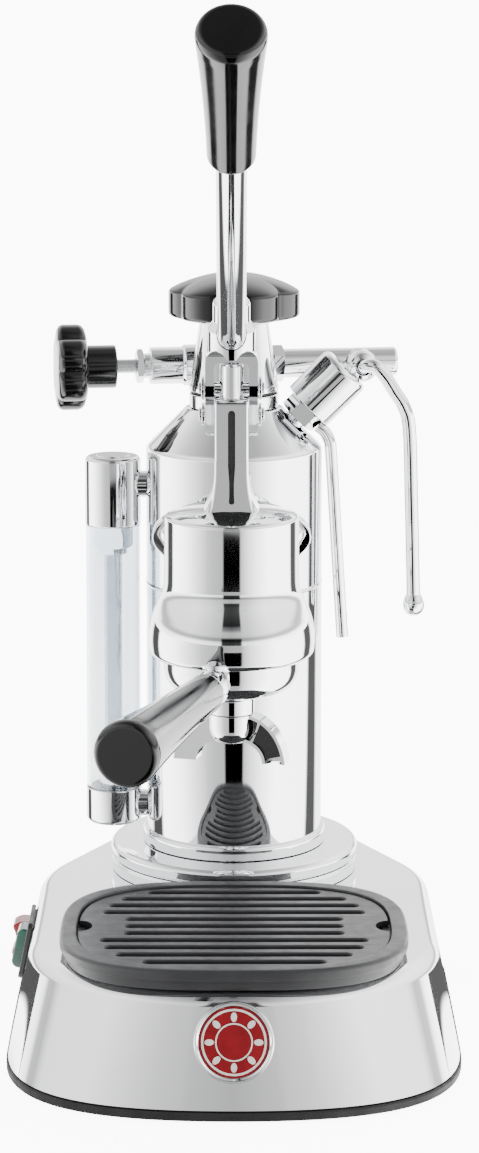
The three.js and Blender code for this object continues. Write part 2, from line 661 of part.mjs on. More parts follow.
// A handle that swells towards its domed end, with a blind bore for its stem.
function grip(length, startR, endR, boreR, boreDepth) {
  const swell = (t) => startR + (endR - startR) * (0.35 * t + 0.65 * t * t);
  const side = [0.02, 0.2, 0.4, 0.6, 0.8, 0.97].map((t) => [swell(t), length * t]);
  return turned([
    [0, boreDepth], [boreR, boreDepth], [boreR, 0], [startR - 1.2, 0], ...side,
    [endR - 1, length + 1], [endR * 0.6, length + 3.4], [0, length + 4.4],
  ], ROUND_SIDES);
}

function lever() {
  const stem = disc(STEM_R, 0, STEM_LENGTH, SMALL_SIDES);
  const handle = grip(74, 9.6, 13.7, STEM_R + GAP, 8).translate(0, 0, GRIP_START);
  return groupAt(
    GROUP_X, FULCRUM_Y, FULCRUM_Z,
    leverFork(),
    piece("lever_stem", aimed(stem, STEM_START, STEM_AIM), "chrome"),
    piece("lever_handle", aimed(handle, STEM_START, STEM_AIM), "bakelite"),
    piece("fulcrum_pin", clippedPin(3), "chrome"),
  );
}

// ---------------------------------------------------------------- portafilter, on the group's axis

const HANDLE_RISE = 2;
const HANDLE_AIM = [0, -Math.cos(radians(HANDLE_RISE)), Math.sin(radians(HANDLE_RISE))];

function portafilterBody() {
  const cup = turned([
    [3, 143 + GAP], [9.8, 143 + GAP], [10, 150.6], [20, 152.3], [25.5, 155], [28, 158.4], [RING_R, 162],
    [RING_R, 176.5], [27.3, 176.5], [27.3, 159], [25, 155.8], [3, 154.6], [3, 143 + GAP],
  ], ROUND_SIDES);
  const lug = [...arc([0, 0], 31.3, -20, 20, 6), ...arc([0, 0], 28, 20, -20, 6)];
  const lugs = [0, 180].map((turn) => slab(lug, 4.5).rotateZ(radians(turn)).translate(0, 0, 170.5));
  const ferrule = turned([
    [0, 0], [6.4, 0], [6.4, 8], [7.9, 9.5], [7.9, 17], [4.5, 17], [4.5, 34], [0, 34],
  ], SMALL_SIDES);
  const stub = aimed(ferrule, [0, -27.7, PORTAFILTER_HANDLE_Z], HANDLE_AIM);
  return piece("portafilter_body", join(cup, ...lugs, stub), "chrome");
}

function portafilterSpout() {
  const hub = turned([
    [0, 130], [7.6, 130], [9.2, 131.6], [9.8, 134], [9.8, 143], [3, 143], [3, 136], [0, 136],
  ]);
  const arm = new THREE.Shape();
  arm.moveTo(6, 142.4);
  arm.bezierCurveTo(16, 141.5, 23, 133, 24.3, 122.6);
  arm.lineTo(14.4, 122.6);
  arm.quadraticCurveTo(13, 130, 6, 131.4);
  const outline = arm.getPoints(7).map((point) => [point.x, point.y]);
  const arms = [0, 180].map((turn) => frontSlab(outline.slice().reverse(), 9.4).rotateZ(radians(turn)));
  return piece("portafilter_spout", cut(join(hub, ...arms), disc(3, 136, 146, FINE_SIDES)), "chrome");
}

function filterBasket() {
  const basket = turned([
    [0, 156.2], [24.6, 156.2], [26.6, 159.4], [26.8, 176.5 + GAP], [28.3, 176.5 + GAP], [28.3, 177.4],
    [26, 177.4], [25.8, 160], [24.2, 157.2], [0, 157.2],
  ], ROUND_SIDES);
  return piece("filter_basket", basket, "steel");
}

function portafilter() {
  const handleStart = [0, -27.7, PORTAFILTER_HANDLE_Z].map((value, i) => value + (17 + GAP) * HANDLE_AIM[i]);
  const handle = aimed(grip(117, 8.3, 13.2, 4.5 + GAP, 18), handleStart, HANDLE_AIM);
  const group = groupAt(
    GROUP_X, GROUP_Y, 0,
    portafilterBody(),
    portafilterSpout(),
    filterBasket(),
    piece("portafilter_handle", handle, "bakelite"),
  );
  group.rotation.z = radians(PORTAFILTER_TURN);
  return group;
}

// ---------------------------------------------------------------- steam tap, with +X along its spindle

function steamValve() {
  const body = turned([
    [3.5, -41.6], [5.7, -41.6], [5.7, -38.8], [8.4, -38.8], [8.4, -24], [9.4, -23], [9.4, 12], [7.6, 13.5],
    [7.6, 17.1], [0, 17.1], [0, -20], [3.5, -20], [3.5, -41.6],
  ], SMALL_SIDES).rotateY(Math.PI / 2);
  const pillar = disc(7, -40, 2, SMALL_SIDES);
  const envelope = boilerEnvelope(GAP).translate(0, -STEAM_Y, -STEAM_Z).rotateZ(radians(-STEAM_YAW));
  const passage = disc(2.5, -50, -5, FINE_SIDES);
  return piece("steam_valve_body", cut(join(body, pillar), envelope, passage), "chrome");
}

function steamTube() {
  const nut = disc(8.5, 17.4, 22.6, 6).rotateY(Math.PI / 2);
  const tubeProfile = [[0, 22], [6.6, 22], [6.6, 74.4], [5.8, 75.4], [0, 75.4]];
  const tube = turned(tubeProfile, SMALL_SIDES).rotateY(Math.PI / 2);
  const boss = rod([WAND_JOINT_X, 0, 0], [WAND_JOINT_X, -9.5, 0], 6.4, SMALL_SIDES);
  return piece("steam_outlet_tube", join(nut, tube, boss), "chrome");
}

function wandNut() {
  const profile = [
    [5.5, 9.8], [7.4, 9.8], [7.4, 15], [6.2, 18], [3.9, 19.4], [3.9, 18.7], [5.5, 15.5], [5.5, 9.8],
  ];
  const nut = aimed(turned(profile, SMALL_SIDES), [WAND_JOINT_X, 0, 0], [0, -1, 0]);
  return piece("wand_joint_nut", nut, "chrome");
}

function steamWand() {
  const path = smoothPath([
    [WAND_JOINT_X, -14.8, 0], [WAND_JOINT_X, -19, 0.2], [WAND_JOINT_X + 1.2, -22.6, 1.2],
    [WAND_JOINT_X + 4.6, -24.6, 0.8], [WAND_JOINT_X + 9, -25, -4], [WAND_JOINT_X + 13.1, -25, -10.5],
    [WAND_JOINT_X + 17.4, -25, -17.5], [WAND_JOINT_X + 20, -25, -28], [WAND_JOINT_X + 21.2, -25, -62],
    [WAND_JOINT_X + 22.4, -25, -107],
  ]);
  const ball = new THREE.SphereGeometry(5, 12, 8).translate(WAND_JOINT_X, -14.8, 0);
  const tip = new THREE.SphereGeometry(5, 12, 8).translate(WAND_JOINT_X + 22.5, -25, -109);
  return piece("steam_wand", join(bar(path, 3.15, 26, 8), ball, tip), "chrome");
}

function steamKnob() {
  const level = (radius) => lobed(radius, 6, 0.2, 0, 30);
  const head = loft(
    [level(15), level(19.6), level(19.6), level(18), level(12)],
    [-81.7, -79.5, -71, -68.6, -67.6],
  );
  const hub = disc(10.6, -70, -54.3, SMALL_SIDES);
  const bore = disc(3.5, -63, -50, FINE_SIDES);
  return piece("steam_knob", geometryOf(cut(join(head, hub), bore)).rotateY(Math.PI / 2), "bakelite");
}

function steamTap() {
  const spindle = disc(3.15, -62.5, -21, FINE_SIDES).rotateY(Math.PI / 2);
  const gland = geometryOf(cut(solid(disc(7.8, -45, -41.6 - GAP, 6)), disc(3.6, -50, -40, SMALL_SIDES)));
  const group = groupAt(
    0, STEAM_Y, STEAM_Z,
    steamValve(),
    piece("steam_gland_nut", gland.rotateY(Math.PI / 2), "chrome"),
    steamTube(),
    wandNut(),
    steamWand(),
    steamKnob(),
    piece("steam_spindle", spindle, "steel"),
  );
  group.rotation.z = radians(STEAM_YAW);
  return group;
}

// ---------------------------------------------------------------- safety valve, on the right shoulder

function safetyValve() {
  const foot = join(disc(5, -7, 0, FINE_SIDES), disc(9.2, -1.1, 6.1, 6));
  const cap = turned([
    [7.6, 6.1 + GAP], [12.15, 6.1 + GAP], [12.15, 28.8], [10.6, 30.4], [0, 30.4], [0, 27], [7.6, 27],
    [7.6, 6.1 + GAP],
  ], ROUND_SIDES);
  const seat = disc(2.2, -10, 12, FINE_SIDES);
  const group = groupAt(
    SAFETY_X, 0, SAFETY_Z,
    piece("safety_valve_base", cut(foot, seat), "chrome"),
    piece("safety_valve_cap", cap, "chrome"),
  );
  group.rotation.y = radians(45);
  return group;
}

function blowOffPipe() {
  const path = smoothPath([
    [37.6, 0, 251.4], [40.6, 0, 249], [42.8, 0, 245], [43.6, 0, 240], [45, 0, 218], [47, 0, 186],
    [49, 0, 155],
  ]);
  return piece("blow_off_pipe", bar(path, 2.75, 14, 8), "chrome");
}

// ---------------------------------------------------------------- drip tray

function trayHalfWidth(half, offset) {
  return half[0] * Math.pow(1 - Math.pow(Math.abs(offset) / half[1], TRAY_POWER), 1 / TRAY_POWER);
}

function trayOutline(inset) {
  const half = TRAY_HALF.map((value) => value - inset);
  return Array.from({ length: 36 }, (_, i) => {
    const angle = (2 * Math.PI * i) / 36;
    const bend = (value) => Math.sign(value) * Math.pow(Math.abs(value), 2 / TRAY_POWER);
    return [half[0] * bend(Math.cos(angle)), TRAY_CENTRE_Y + half[1] * bend(Math.sin(angle))];
  });
}

const GRILLE_INSET = 7.4;
const GRILLE_BOTTOM_Z = 55.2;
const GRILLE_TOP_Z = 57.6;

function dripTray() {
  const outer = loft(
    [trayOutline(3.4), trayOutline(2), trayOutline(2), trayOutline(0), trayOutline(0), trayOutline(1.2)],
    [DECK_Z + GAP, 50.6, 53.6, 54.2, 57.4, 58.6],
  );
  const well = loft([trayOutline(11.5), trayOutline(10.4)], [50.7, GRILLE_BOTTOM_Z + 1]);
  const seat = loft([trayOutline(7), trayOutline(7)], [GRILLE_BOTTOM_Z - GAP, 60]);
  return piece("drip_tray", cut(solid(outer), well, seat), "tray");
}

function dripGrille() {
  const outline = trayOutline(GRILLE_INSET);
  const half = TRAY_HALF.map((value) => value - GRILLE_INSET);
  const plate = loft([outline, outline], [GRILLE_BOTTOM_Z, GRILLE_TOP_Z]);
  const slots = [-5, -4, -3, -2, -1, 0, 1, 2, 3, 4, 5].map((row) => {
    const offset = row * SLOT_PITCH;
    const besideNotch = Math.abs(row) < 2 ? 46 : Infinity;
    const reach = Math.min(trayHalfWidth(half, offset) - 9, besideNotch);
    const shape = slab(stadium(2 * reach, SLOT_WIDTH, 2), 8);
    return shape.translate(0, TRAY_CENTRE_Y + offset, GRILLE_BOTTOM_Z - 3);
  });
  const notches = [-1, 1].map((side) => {
    const notch = slab(stadium(15, 14.9, 5), 8);
    return notch.scale(0.8, 1, 1).translate(side * half[0], TRAY_CENTRE_Y, GRILLE_BOTTOM_Z - 3);
  });
  return piece("drip_grille", cut(solid(plate), ...slots, ...notches), "tray");
}

// ---------------------------------------------------------------- the machine

const machine = groupAt(
  0, BOILER_AXIS_Y, 0,
  baseShell(),
  baseTrim(),
  bottomCover(),
  ...feet(),
  frontBadge(),
  ...switchPanel(),
  powerSwitch(),
  cableInlet(),
  boilerShell(),
  ...boilerFoot(),
  ...heatingElement(),
  boilerCap(),
  capKnob(),
  capGasket(),
  waterGauge(),
  ...boilerPort(),
  ...flangeBolts(),
  groupAt(GROUP_X, GROUP_Y, 0, groupBody(), ...groupInside(), ...pistonAssembly()),
  lever(),
  portafilter(),
  steamTap(),
  safetyValve(),
  blowOffPipe(),
  dripTray(),
  dripGrille(),
);

const espressoMachine = new THREE.Group();
espressoMachine.add(machine);

export default espressoMachine;
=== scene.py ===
"""Looks of the lever espresso machine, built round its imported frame.

Pieces are made in millimetres, in the frames that the machine's own layout gives, and placed in metres.
"""
import json
import math

import bmesh
import bpy
from mathutils import Euler, Matrix, Vector


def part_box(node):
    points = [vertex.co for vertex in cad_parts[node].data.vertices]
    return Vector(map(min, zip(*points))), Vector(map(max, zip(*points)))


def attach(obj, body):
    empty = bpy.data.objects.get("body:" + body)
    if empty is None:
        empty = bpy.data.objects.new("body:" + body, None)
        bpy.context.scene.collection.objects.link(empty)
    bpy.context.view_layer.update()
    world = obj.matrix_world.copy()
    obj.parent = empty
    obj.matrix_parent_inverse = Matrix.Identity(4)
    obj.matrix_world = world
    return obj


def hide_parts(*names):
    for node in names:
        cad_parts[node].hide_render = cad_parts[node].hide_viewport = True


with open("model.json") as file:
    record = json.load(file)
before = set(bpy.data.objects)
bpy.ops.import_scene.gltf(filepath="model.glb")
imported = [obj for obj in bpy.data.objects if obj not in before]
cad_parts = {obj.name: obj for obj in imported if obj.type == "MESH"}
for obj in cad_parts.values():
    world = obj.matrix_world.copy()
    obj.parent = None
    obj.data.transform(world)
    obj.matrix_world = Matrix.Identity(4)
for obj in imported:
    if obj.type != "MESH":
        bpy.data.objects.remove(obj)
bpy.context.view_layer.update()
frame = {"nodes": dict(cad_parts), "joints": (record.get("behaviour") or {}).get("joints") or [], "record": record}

MM = 0.001
BODY_OF = {node: body for body, nodes in frame["record"]["behaviour"]["bodies"].items() for node in nodes}
SLOT_OF = {part["node"]: part["material_slot"] for part in frame["record"]["subparts"]}

# ---- frames and sizes, mm


def centre(node):
    low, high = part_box(node)
    return (low + high) / 2


def shift(x, y, z):
    return Matrix.Translation((x, y, z))


def turn(degrees, axis):
    return Matrix.Rotation(math.radians(degrees), 4, axis)


AXIS_Y = centre("boiler_flange").y / MM
GROUP_X = centre("cylinder_sleeve").x / MM
GROUP_Y = round(centre("piston_head").y / MM - AXIS_Y, 1)
LEVER_JOINT = next(joint for joint in frame["joints"] if joint["name"] == "lever_swing")
FULCRUM = [value / MM for value in LEVER_JOINT["pos_m"]]

PORTAFILTER_TURN = -14
TAP_PLACE = (0, 32, 275)
TAP_TURN = 8
SAFETY_PLACE = (29, 0, 256)
SAFETY_LEAN = 45
GAUGE_X = 54.5

ROOT = Matrix.Scale(MM, 4)
MACHINE = ROOT @ shift(0, AXIS_Y, 0)
GROUP = MACHINE @ shift(GROUP_X, GROUP_Y, 0)
LEVER = ROOT @ shift(*FULCRUM)
PORTAFILTER = GROUP @ turn(PORTAFILTER_TURN, "Z")
TAP = MACHINE @ shift(*TAP_PLACE) @ turn(TAP_TURN, "Z")
SAFETY = MACHINE @ shift(*SAFETY_PLACE) @ turn(SAFETY_LEAN, "Y")
GAUGE = MACHINE @ shift(-GAUGE_X, 0, 0)

DECK_Z = 49
DECK_UNDER_Z = 47.4
DECK_EDGE = 5.2
SHELL_FOOT_Z = 5
SHELL_HEIGHT = DECK_Z - SHELL_FOOT_Z
SHELL_WALL = 1.6
BASE_CENTRE_Y = -75
BASE_BOTTOM = dict(
    front=-200, front_pull=(66, -200), side_pull=(95, -178), side=(95, -125), shoulder=(95, 0),
    heel=(57, 70),
)
BASE_TOP = dict(
    front=-185, front_pull=(45, -185), side_pull=(86, -150), side=(86, -118), shoulder=(86, -10),
    heel=(50, 60),
)
BASE_SHOULDER_BEND = 18
BASE_HEEL_BEND = 12
BADGE_Z = 31
SWITCH_Y, SWITCH_Z = -65, 33
SWITCH_BAYS = ((0.8, 13), (-13, -0.8))
SWITCH_BAY_HALF = 9.2
INLET_Z = 22
BOILER_R = 39.5
BOILER_WALL = 2
SHOULDER_Z = 242.5
SHOULDER_TOP_R = 21.7
SHOULDER_TOP_Z = SHOULDER_Z + BOILER_R - SHOULDER_TOP_R
NECK_TOP_Z = 266.6
CAP_KNOB_R = 29.5
CAP_KNOB_TURN = -7
TAP_KNOB_R = 19.6
KNOB_LOBES = 6
LOBE_FLOOR, LOBE_POWER = 0.004, 0.33
FLANGE_Z = 214
PORT_Z = FLANGE_Z - 4
BOLT_X = 25.5
BORE_R = 3.3
POST_HALF, FORK_CHEEK, PIN_GAP = 7, 3.8, 0.3
PIN_Z = 282.5
STEM_ANGLE = 41
STEM_AIM = Vector((0, -math.cos(math.radians(STEM_ANGLE)), math.sin(math.radians(STEM_ANGLE))))
STEM_START = Vector((0, -18.7, 33.7))
CROWN_LEAN = 10
PIN_SLOT_ANGLE, PIN_SLOT_REACH = 40.8, 18.55
HANDLE_RISE = 2
HANDLE_AIM = Vector((0, -math.cos(math.radians(HANDLE_RISE)), math.sin(math.radians(HANDLE_RISE))))
HANDLE_START = Vector((0, -27.7, 161))
SPOUT_HALF, SPOUT_WALL = 4.7, 1.3
WAND_X = 57
TRAY_CENTRE_Y = -121.5
TRAY_HALF = (73, 63.5)
TRAY_POWER = 3
GRILLE_INSET = 7.4
GRILLE_SLOT_PITCH, GRILLE_SLOT_WIDTH = 9.7, 4.6

# ---- finishes


def fill(node, **values):
    """Sets a node's inputs by name, with an underscore for each space."""
    for socket, value in values.items():
        node.inputs[socket.replace("_", " ")].default_value = value


class Shader:
    """A material whose nodes are added one at a time round its Principled shader."""

    def __init__(self, name, **sockets):
        self.material = bpy.data.materials.new(name)
        self.material.use_nodes = True
        self.nodes = self.material.node_tree.nodes
        self.links = self.material.node_tree.links
        self.shader = self.nodes["Principled BSDF"]
        fill(self.shader, **sockets)
        self.place = self.nodes.new("ShaderNodeTexCoord").outputs["Object"]

    def stretched(self, scale):
        mapping = self.nodes.new("ShaderNodeMapping")
        fill(mapping, Scale=scale)
        self.links.new(self.place, mapping.inputs["Vector"])
        return mapping.outputs["Vector"]

    def noise(self, scale, detail, stretch):
        node = self.nodes.new("ShaderNodeTexNoise")
        fill(node, Scale=scale, Detail=detail)
        self.links.new(self.stretched(stretch) if stretch else self.place, node.inputs["Vector"])
        return node.outputs["Fac"]

    def mapped(self, value, low, high):
        node = self.nodes.new("ShaderNodeMapRange")
        fill(node, From_Min=0.3, From_Max=0.7, To_Min=low, To_Max=high)
        self.links.new(value, node.inputs["Value"])
        return node.outputs["Result"]

    def roughness(self, value, low, high):
        self.links.new(self.mapped(value, low, high), self.shader.inputs["Roughness"])

    def colour(self, value, dark, light):
        node = self.nodes.new("ShaderNodeMix")
        node.data_type = "RGBA"
        fill(node, A=(*dark, 1), B=(*light, 1))
        self.links.new(self.mapped(value, 0, 1), node.inputs["Factor"])
        self.links.new(node.outputs["Result"], self.shader.inputs["Base Color"])

    def bump(self, value, strength, distance):
        node = self.nodes.new("ShaderNodeBump")
        fill(node, Strength=strength, Distance=distance)
        self.links.new(value, node.inputs["Height"])
        self.links.new(node.outputs["Normal"], self.shader.inputs["Normal"])


def finish(name, colour, roughness, bump=None, stretch=None, **sockets):
    """A finish whose colour, roughness and bump each start with the scale and the detail of their noise."""
    s = Shader(name, **sockets)
    scale, detail, dark, light = colour
    s.colour(s.noise(scale, detail, stretch), dark, light)
    scale, detail, smooth, rough = roughness
    s.roughness(s.noise(scale, detail, stretch), smooth, rough)
    if bump:
        scale, detail, strength, depth = bump
        s.bump(s.noise(scale, detail, stretch), strength, depth)
    return s.material


LATHE_MARKS = (1, 1, 30)
ENAMEL = dict(Coat_Weight=0.15, Coat_Roughness=0.06, IOR=1.5, Specular_IOR_Level=0.25)

CHROME = finish(
    "chrome_plate", (14, 2, (0.82, 0.83, 0.85), (0.87, 0.875, 0.885)), (55, 4, 0.025, 0.06),
    (24, 1, 0.06, 0.0006), Metallic=1.0,
)
STEEL = finish(
    "turned_steel", (40, 3, (0.48, 0.49, 0.5), (0.62, 0.63, 0.64)), (60, 4, 0.22, 0.36),
    stretch=LATHE_MARKS, Metallic=1.0, Anisotropic=0.5,
)
BRASS = finish(
    "turned_brass", (40, 3, (0.58, 0.42, 0.18), (0.76, 0.59, 0.3)), (60, 4, 0.2, 0.34),
    stretch=LATHE_MARKS, Metallic=1.0, Anisotropic=0.4,
)
BAKELITE = finish(
    "polished_bakelite", (30, 4, (0.002, 0.002, 0.0022), (0.004, 0.004, 0.0044)), (70, 4, 0.07, 0.14),
    (90, 2, 0.04, 0.0003), IOR=1.52,
)
TRAY = finish(
    "tray_plastic", (45, 4, (0.016, 0.0165, 0.018), (0.024, 0.0245, 0.026)), (160, 4, 0.34, 0.46),
    (2600, 2, 0.12, 0.0002), IOR=1.5,
)
BLACK = finish(
    "moulded_black", (60, 4, (0.004, 0.004, 0.0043), (0.008, 0.008, 0.0084)), (200, 4, 0.34, 0.5),
    (3000, 2, 0.15, 0.0002), IOR=1.5,
)
RUBBER = finish(
    "soft_rubber", (80, 4, (0.004, 0.004, 0.004), (0.009, 0.009, 0.009)), (140, 4, 0.6, 0.8),
    (1800, 3, 0.2, 0.0003), IOR=1.5,
)
GLASS = finish(
    "clear_tube", (20, 2, (0.5, 0.53, 0.56), (0.56, 0.59, 0.615)), (80, 3, 0.0, 0.02),
    Transmission_Weight=1.0, IOR=1.46, Specular_IOR_Level=0.5,
)
RED_ENAMEL = finish(
    "red_enamel", (160, 4, (0.13, 0.0015, 0.004), (0.18, 0.003, 0.007)), (220, 3, 0.16, 0.26),
    (420, 2, 0.05, 0.0002), **ENAMEL,
)
CREAM_ENAMEL = finish(
    "cream_enamel", (160, 4, (0.5, 0.48, 0.44), (0.58, 0.56, 0.52)), (220, 3, 0.16, 0.26),
    (420, 2, 0.05, 0.0002), **ENAMEL,
)
RED = finish(
    "moulded_red", (120, 3, (0.24, 0.003, 0.003), (0.32, 0.008, 0.006)), (260, 3, 0.16, 0.26),
    IOR=1.49, Coat_Weight=0.3,
)
GREEN = finish(
    "green_lens", (120, 3, (0.001, 0.045, 0.026), (0.003, 0.085, 0.05)), (260, 3, 0.1, 0.18),
    IOR=1.49, Coat_Weight=0.5,
)
FINISH_OF_SLOT = dict(
    chrome=CHROME, steel=STEEL, brass=BRASS, bakelite=BAKELITE, tray_plastic=TRAY, black_plastic=BLACK,
    rubber=RUBBER, seal=RUBBER, glass=GLASS, enamel=RED_ENAMEL, red_plastic=RED, green_lens=GREEN,
)

# ---- mesh tools


def skin(rings, closed=False):
    """A mesh through rings of points. One point closes an end; closed joins the last ring to the first."""
    mesh = bmesh.new()
    rows = [[mesh.verts.new(point) for point in ring] for ring in rings]
    pairs = list(zip(rows, rows[1:])) + ([(rows[-1], rows[0])] if closed else [])
    for a, b in pairs:
        count = max(len(a), len(b))
        for i in range(count):
            corners = [a[i % len(a)], a[(i + 1) % len(a)], b[(i + 1) % len(b)], b[i % len(b)]]
            unique = list(dict.fromkeys(corners))
            if len(unique) > 2:
                mesh.faces.new(unique)
    return mesh


def rounded(points, radius, closed=False, steps=4):
    """A polyline with its corners rounded. A third number in a point is that corner's own radius."""
    count = len(points)
    flat = [Vector(p[:2]) for p in points]
    made = []
    for i, point in enumerate(points):
        own = point[2] if len(point) > 2 else radius
        if not closed and i in (0, count - 1) or own == 0:
            made.append(flat[i])
            continue
        before, after = flat[i - 1] - flat[i], flat[(i + 1) % count] - flat[i]
        reach = min(own, before.length * 0.48, after.length * 0.48)
        start, end = flat[i] + before.normalized() * reach, flat[i] + after.normalized() * reach
        for k in range(steps + 1):
            t = k / steps
            made.append(start * (1 - t) ** 2 + flat[i] * 2 * t * (1 - t) + end * t * t)
    return made


def lathe(profile, radius=0.35, sides=96, steps=4):
    """Turned about Z from (radius, height) pairs that start and end on the axis or close on themselves."""
    closed = profile[0][0] > 0
    rings = []
    for r, z in rounded(profile, radius, closed, steps):
        rings.append([(x, y, z) for x, y in polygon(sides, r)] if r > 1e-6 else [(0, 0, z)])
    return skin(rings, closed)


def disc(r, low, high, edge=0.35, sides=96):
    return lathe([(0, low), (r, low), (r, high), (0, high)], edge, sides)


def ring(outer, inner, low, high, edge=0.3, sides=96):
    return lathe([(inner, low), (outer, low), (outer, high), (inner, high)], edge, sides)


def loft(outlines, heights):
    """A solid through outlines of (x, y) pairs, one for each height, with flat ends."""
    rings = [[(x, y, z) for x, y in outline] for outline, z in zip(outlines, heights)]
    ends = [[(*[sum(p[k] for p in r) / len(r) for k in (0, 1)], r[0][2])] for r in (rings[0], rings[-1])]
    return skin([ends[0], *rings, ends[1]])


def capped(rings):
    """A solid through rings of vectors, with a fan over each end."""
    ends = [[sum(r, Vector()) / len(r)] for r in (rings[0], rings[-1])]
    return skin([ends[0], *rings, ends[1]])


def hollow_loft(outer, inner):
    """A solid between two stacks of (outline, height), joined at both ends."""
    stack = outer + inner[::-1]
    return skin([[(x, y, z) for x, y in outline] for outline, z in stack], closed=True)


def polygon(count, radius):
    angles = [2 * math.pi * i / count for i in range(count)]
    return [(radius * math.cos(a), radius * math.sin(a)) for a in angles]


def hexagon(corner_r, low, high, edge=0.7):
    """A hexagonal nut with the corners of its two faces turned off."""
    nut = loft([polygon(6, corner_r)] * 2, [low, high])
    face_r, rim_r, past = corner_r - 1.1, corner_r + 0.2, 0.01
    cone = lathe([
        (0, low - past), (face_r, low - past, 0), (rim_r, low + edge, 0), (rim_r, high - edge, 0),
        (face_r, high + past, 0), (0, high + past),
    ], sides=72)
    return carve(nut, cone, operation="INTERSECT")


def moved(mesh, matrix):
    bmesh.ops.transform(mesh, matrix=matrix, verts=mesh.verts)
    return mesh


def linked(name, data):
    thing = bpy.data.objects.new(name, data)
    bpy.context.scene.collection.objects.link(thing)
    return thing


def as_data(name, mesh):
    data = bpy.data.meshes.new(name)
    mesh.to_mesh(data)
    mesh.free()
    return data


def joined(*meshes):
    """One mesh holding several closed bodies."""
    first = meshes[0]
    for other in meshes[1:]:
        data = as_data("joined", other)
        first.from_mesh(data)
        bpy.data.meshes.remove(data)
    return first


def as_object(mesh):
    bmesh.ops.recalc_face_normals(mesh, faces=mesh.faces)
    return linked("tool", as_data("tool", mesh))


def carve(mesh, *tools, operation="DIFFERENCE"):
    """The mesh after one boolean step with each tool."""
    body = as_object(mesh)
    tools = [as_object(tool) for tool in tools]
    for tool in tools:
        step = body.modifiers.new("step", "BOOLEAN")
        step.operation = operation
        step.solver = "EXACT"
        step.object = tool
    made = evaluated(body)
    for thing in [body, *tools]:
        data = thing.data
        bpy.data.objects.remove(thing)
        bpy.data.meshes.remove(data)
    return made


def evaluated(thing):
    """A bmesh of an object with its modifiers or its curve made real."""
    graph = bpy.context.evaluated_depsgraph_get()
    data = bpy.data.meshes.new_from_object(thing.evaluated_get(graph))
    mesh = bmesh.new()
    mesh.from_mesh(data)
    bpy.data.meshes.remove(data)
    bmesh.ops.remove_doubles(mesh, verts=mesh.verts, dist=1e-4)
    return mesh


def eased(mesh, width, limit):
    """Rounds every edge sharper than a limit in degrees."""
    bmesh.ops.recalc_face_normals(mesh, faces=mesh.faces)
    bmesh.ops.dissolve_limit(mesh, angle_limit=math.radians(0.5), verts=mesh.verts, edges=mesh.edges)
    sharp = [e for e in mesh.edges if len(e.link_faces) == 2 and e.calc_face_angle() > math.radians(limit)]
    bmesh.ops.bevel(
        mesh, geom=sharp, offset=width, offset_type="OFFSET", segments=3, profile=0.5, affect="EDGES",
        clamp_overlap=True,
    )
    return mesh


def plate(outlines, thickness, edge=0.5):
    """A flat plate centred on z = 0 with eased edges. The first outline is its rim, the rest are holes."""
    curve = bpy.data.curves.new("plate", "CURVE")
    curve.dimensions = "2D"
    curve.fill_mode = "BOTH"
    curve.extrude = thickness / 2 - edge
    curve.bevel_depth = edge
    curve.bevel_resolution = 2
    curve.offset = -edge
    for outline in outlines:
        spline = curve.splines.new("POLY")
        spline.points.add(len(outline) - 1)
        for point, (x, y) in zip(spline.points, outline):
            point.co = (x, y, 0, 1)
        spline.use_cyclic_u = True
    thing = linked("plate", curve)
    mesh = evaluated(thing)
    bpy.data.objects.remove(thing)
    bpy.data.curves.remove(curve)
    return mesh


def side_view(mesh, x=0):
    """Stands a flat shape of (y, z) pairs up across x."""
    return moved(mesh, shift(x, 0, 0) @ Matrix(((0, 0, 1, 0), (1, 0, 0, 0), (0, 1, 0, 0), (0, 0, 0, 1))))


def front_view(mesh, y=0):
    """Stands a flat shape of (x, z) pairs up across y."""
    return moved(mesh, shift(0, y, 0) @ turn(90, "X"))


def arc(middle, radius, start, end, steps=16):
    angles = [math.radians(start + (end - start) * i / steps) for i in range(steps + 1)]
    return [(middle[0] + radius * math.cos(a), middle[1] + radius * math.sin(a)) for a in angles]


def stadium(length, width, steps=12):
    reach = (length - width) / 2
    return arc((reach, 0), width / 2, -90, 90, steps) + arc((-reach, 0), width / 2, 90, 270, steps)


def turned_outline(outline, degrees, move=(0, 0)):
    spin = Matrix.Rotation(math.radians(degrees), 2)
    return [tuple(spin @ Vector(point) + Vector(move)) for point in outline]


def block(low, high):
    size = Vector(high) - Vector(low)
    mesh = bmesh.new()
    bmesh.ops.create_cube(mesh, size=1)
    return moved(mesh, shift(*(Vector(low) + size / 2)) @ Matrix.Diagonal((*size, 1)))


def aim(start, direction):
    return shift(*start) @ Vector(direction).to_track_quat("Z", "Y").to_matrix().to_4x4()


def smooth_path(points, each=10):
    """Points along a Catmull-Rom line through the given ones."""
    ends = [2 * Vector(points[0]) - Vector(points[1]), 2 * Vector(points[-1]) - Vector(points[-2])]
    knots = [ends[0], *[Vector(p) for p in points], ends[1]]
    made = []
    for a, b, c, d in zip(knots, knots[1:], knots[2:], knots[3:]):
        bend, twist = 2 * a - 5 * b + 4 * c - d, 3 * b - a - 3 * c + d
        for k in range(each):
            t = k / each
            made.append(0.5 * (2 * b + (c - a) * t + bend * t * t + twist * t ** 3))
    return made + [knots[-2]]


def sweep(path, outline, side):
    """A solid with one outline along a path. side is any direction that the path doesn't start in."""
    rings = []
    u = None
    for i, point in enumerate(path):
        ahead = (path[min(i + 1, len(path) - 1)] - path[max(i - 1, 0)]).normalized()
        base = side.cross(ahead) if u is None else u - ahead * u.dot(ahead)
        u = base.normalized()
        v = ahead.cross(u)
        rings.append([point + u * a + v * b for a, b in outline])
    return capped(rings)


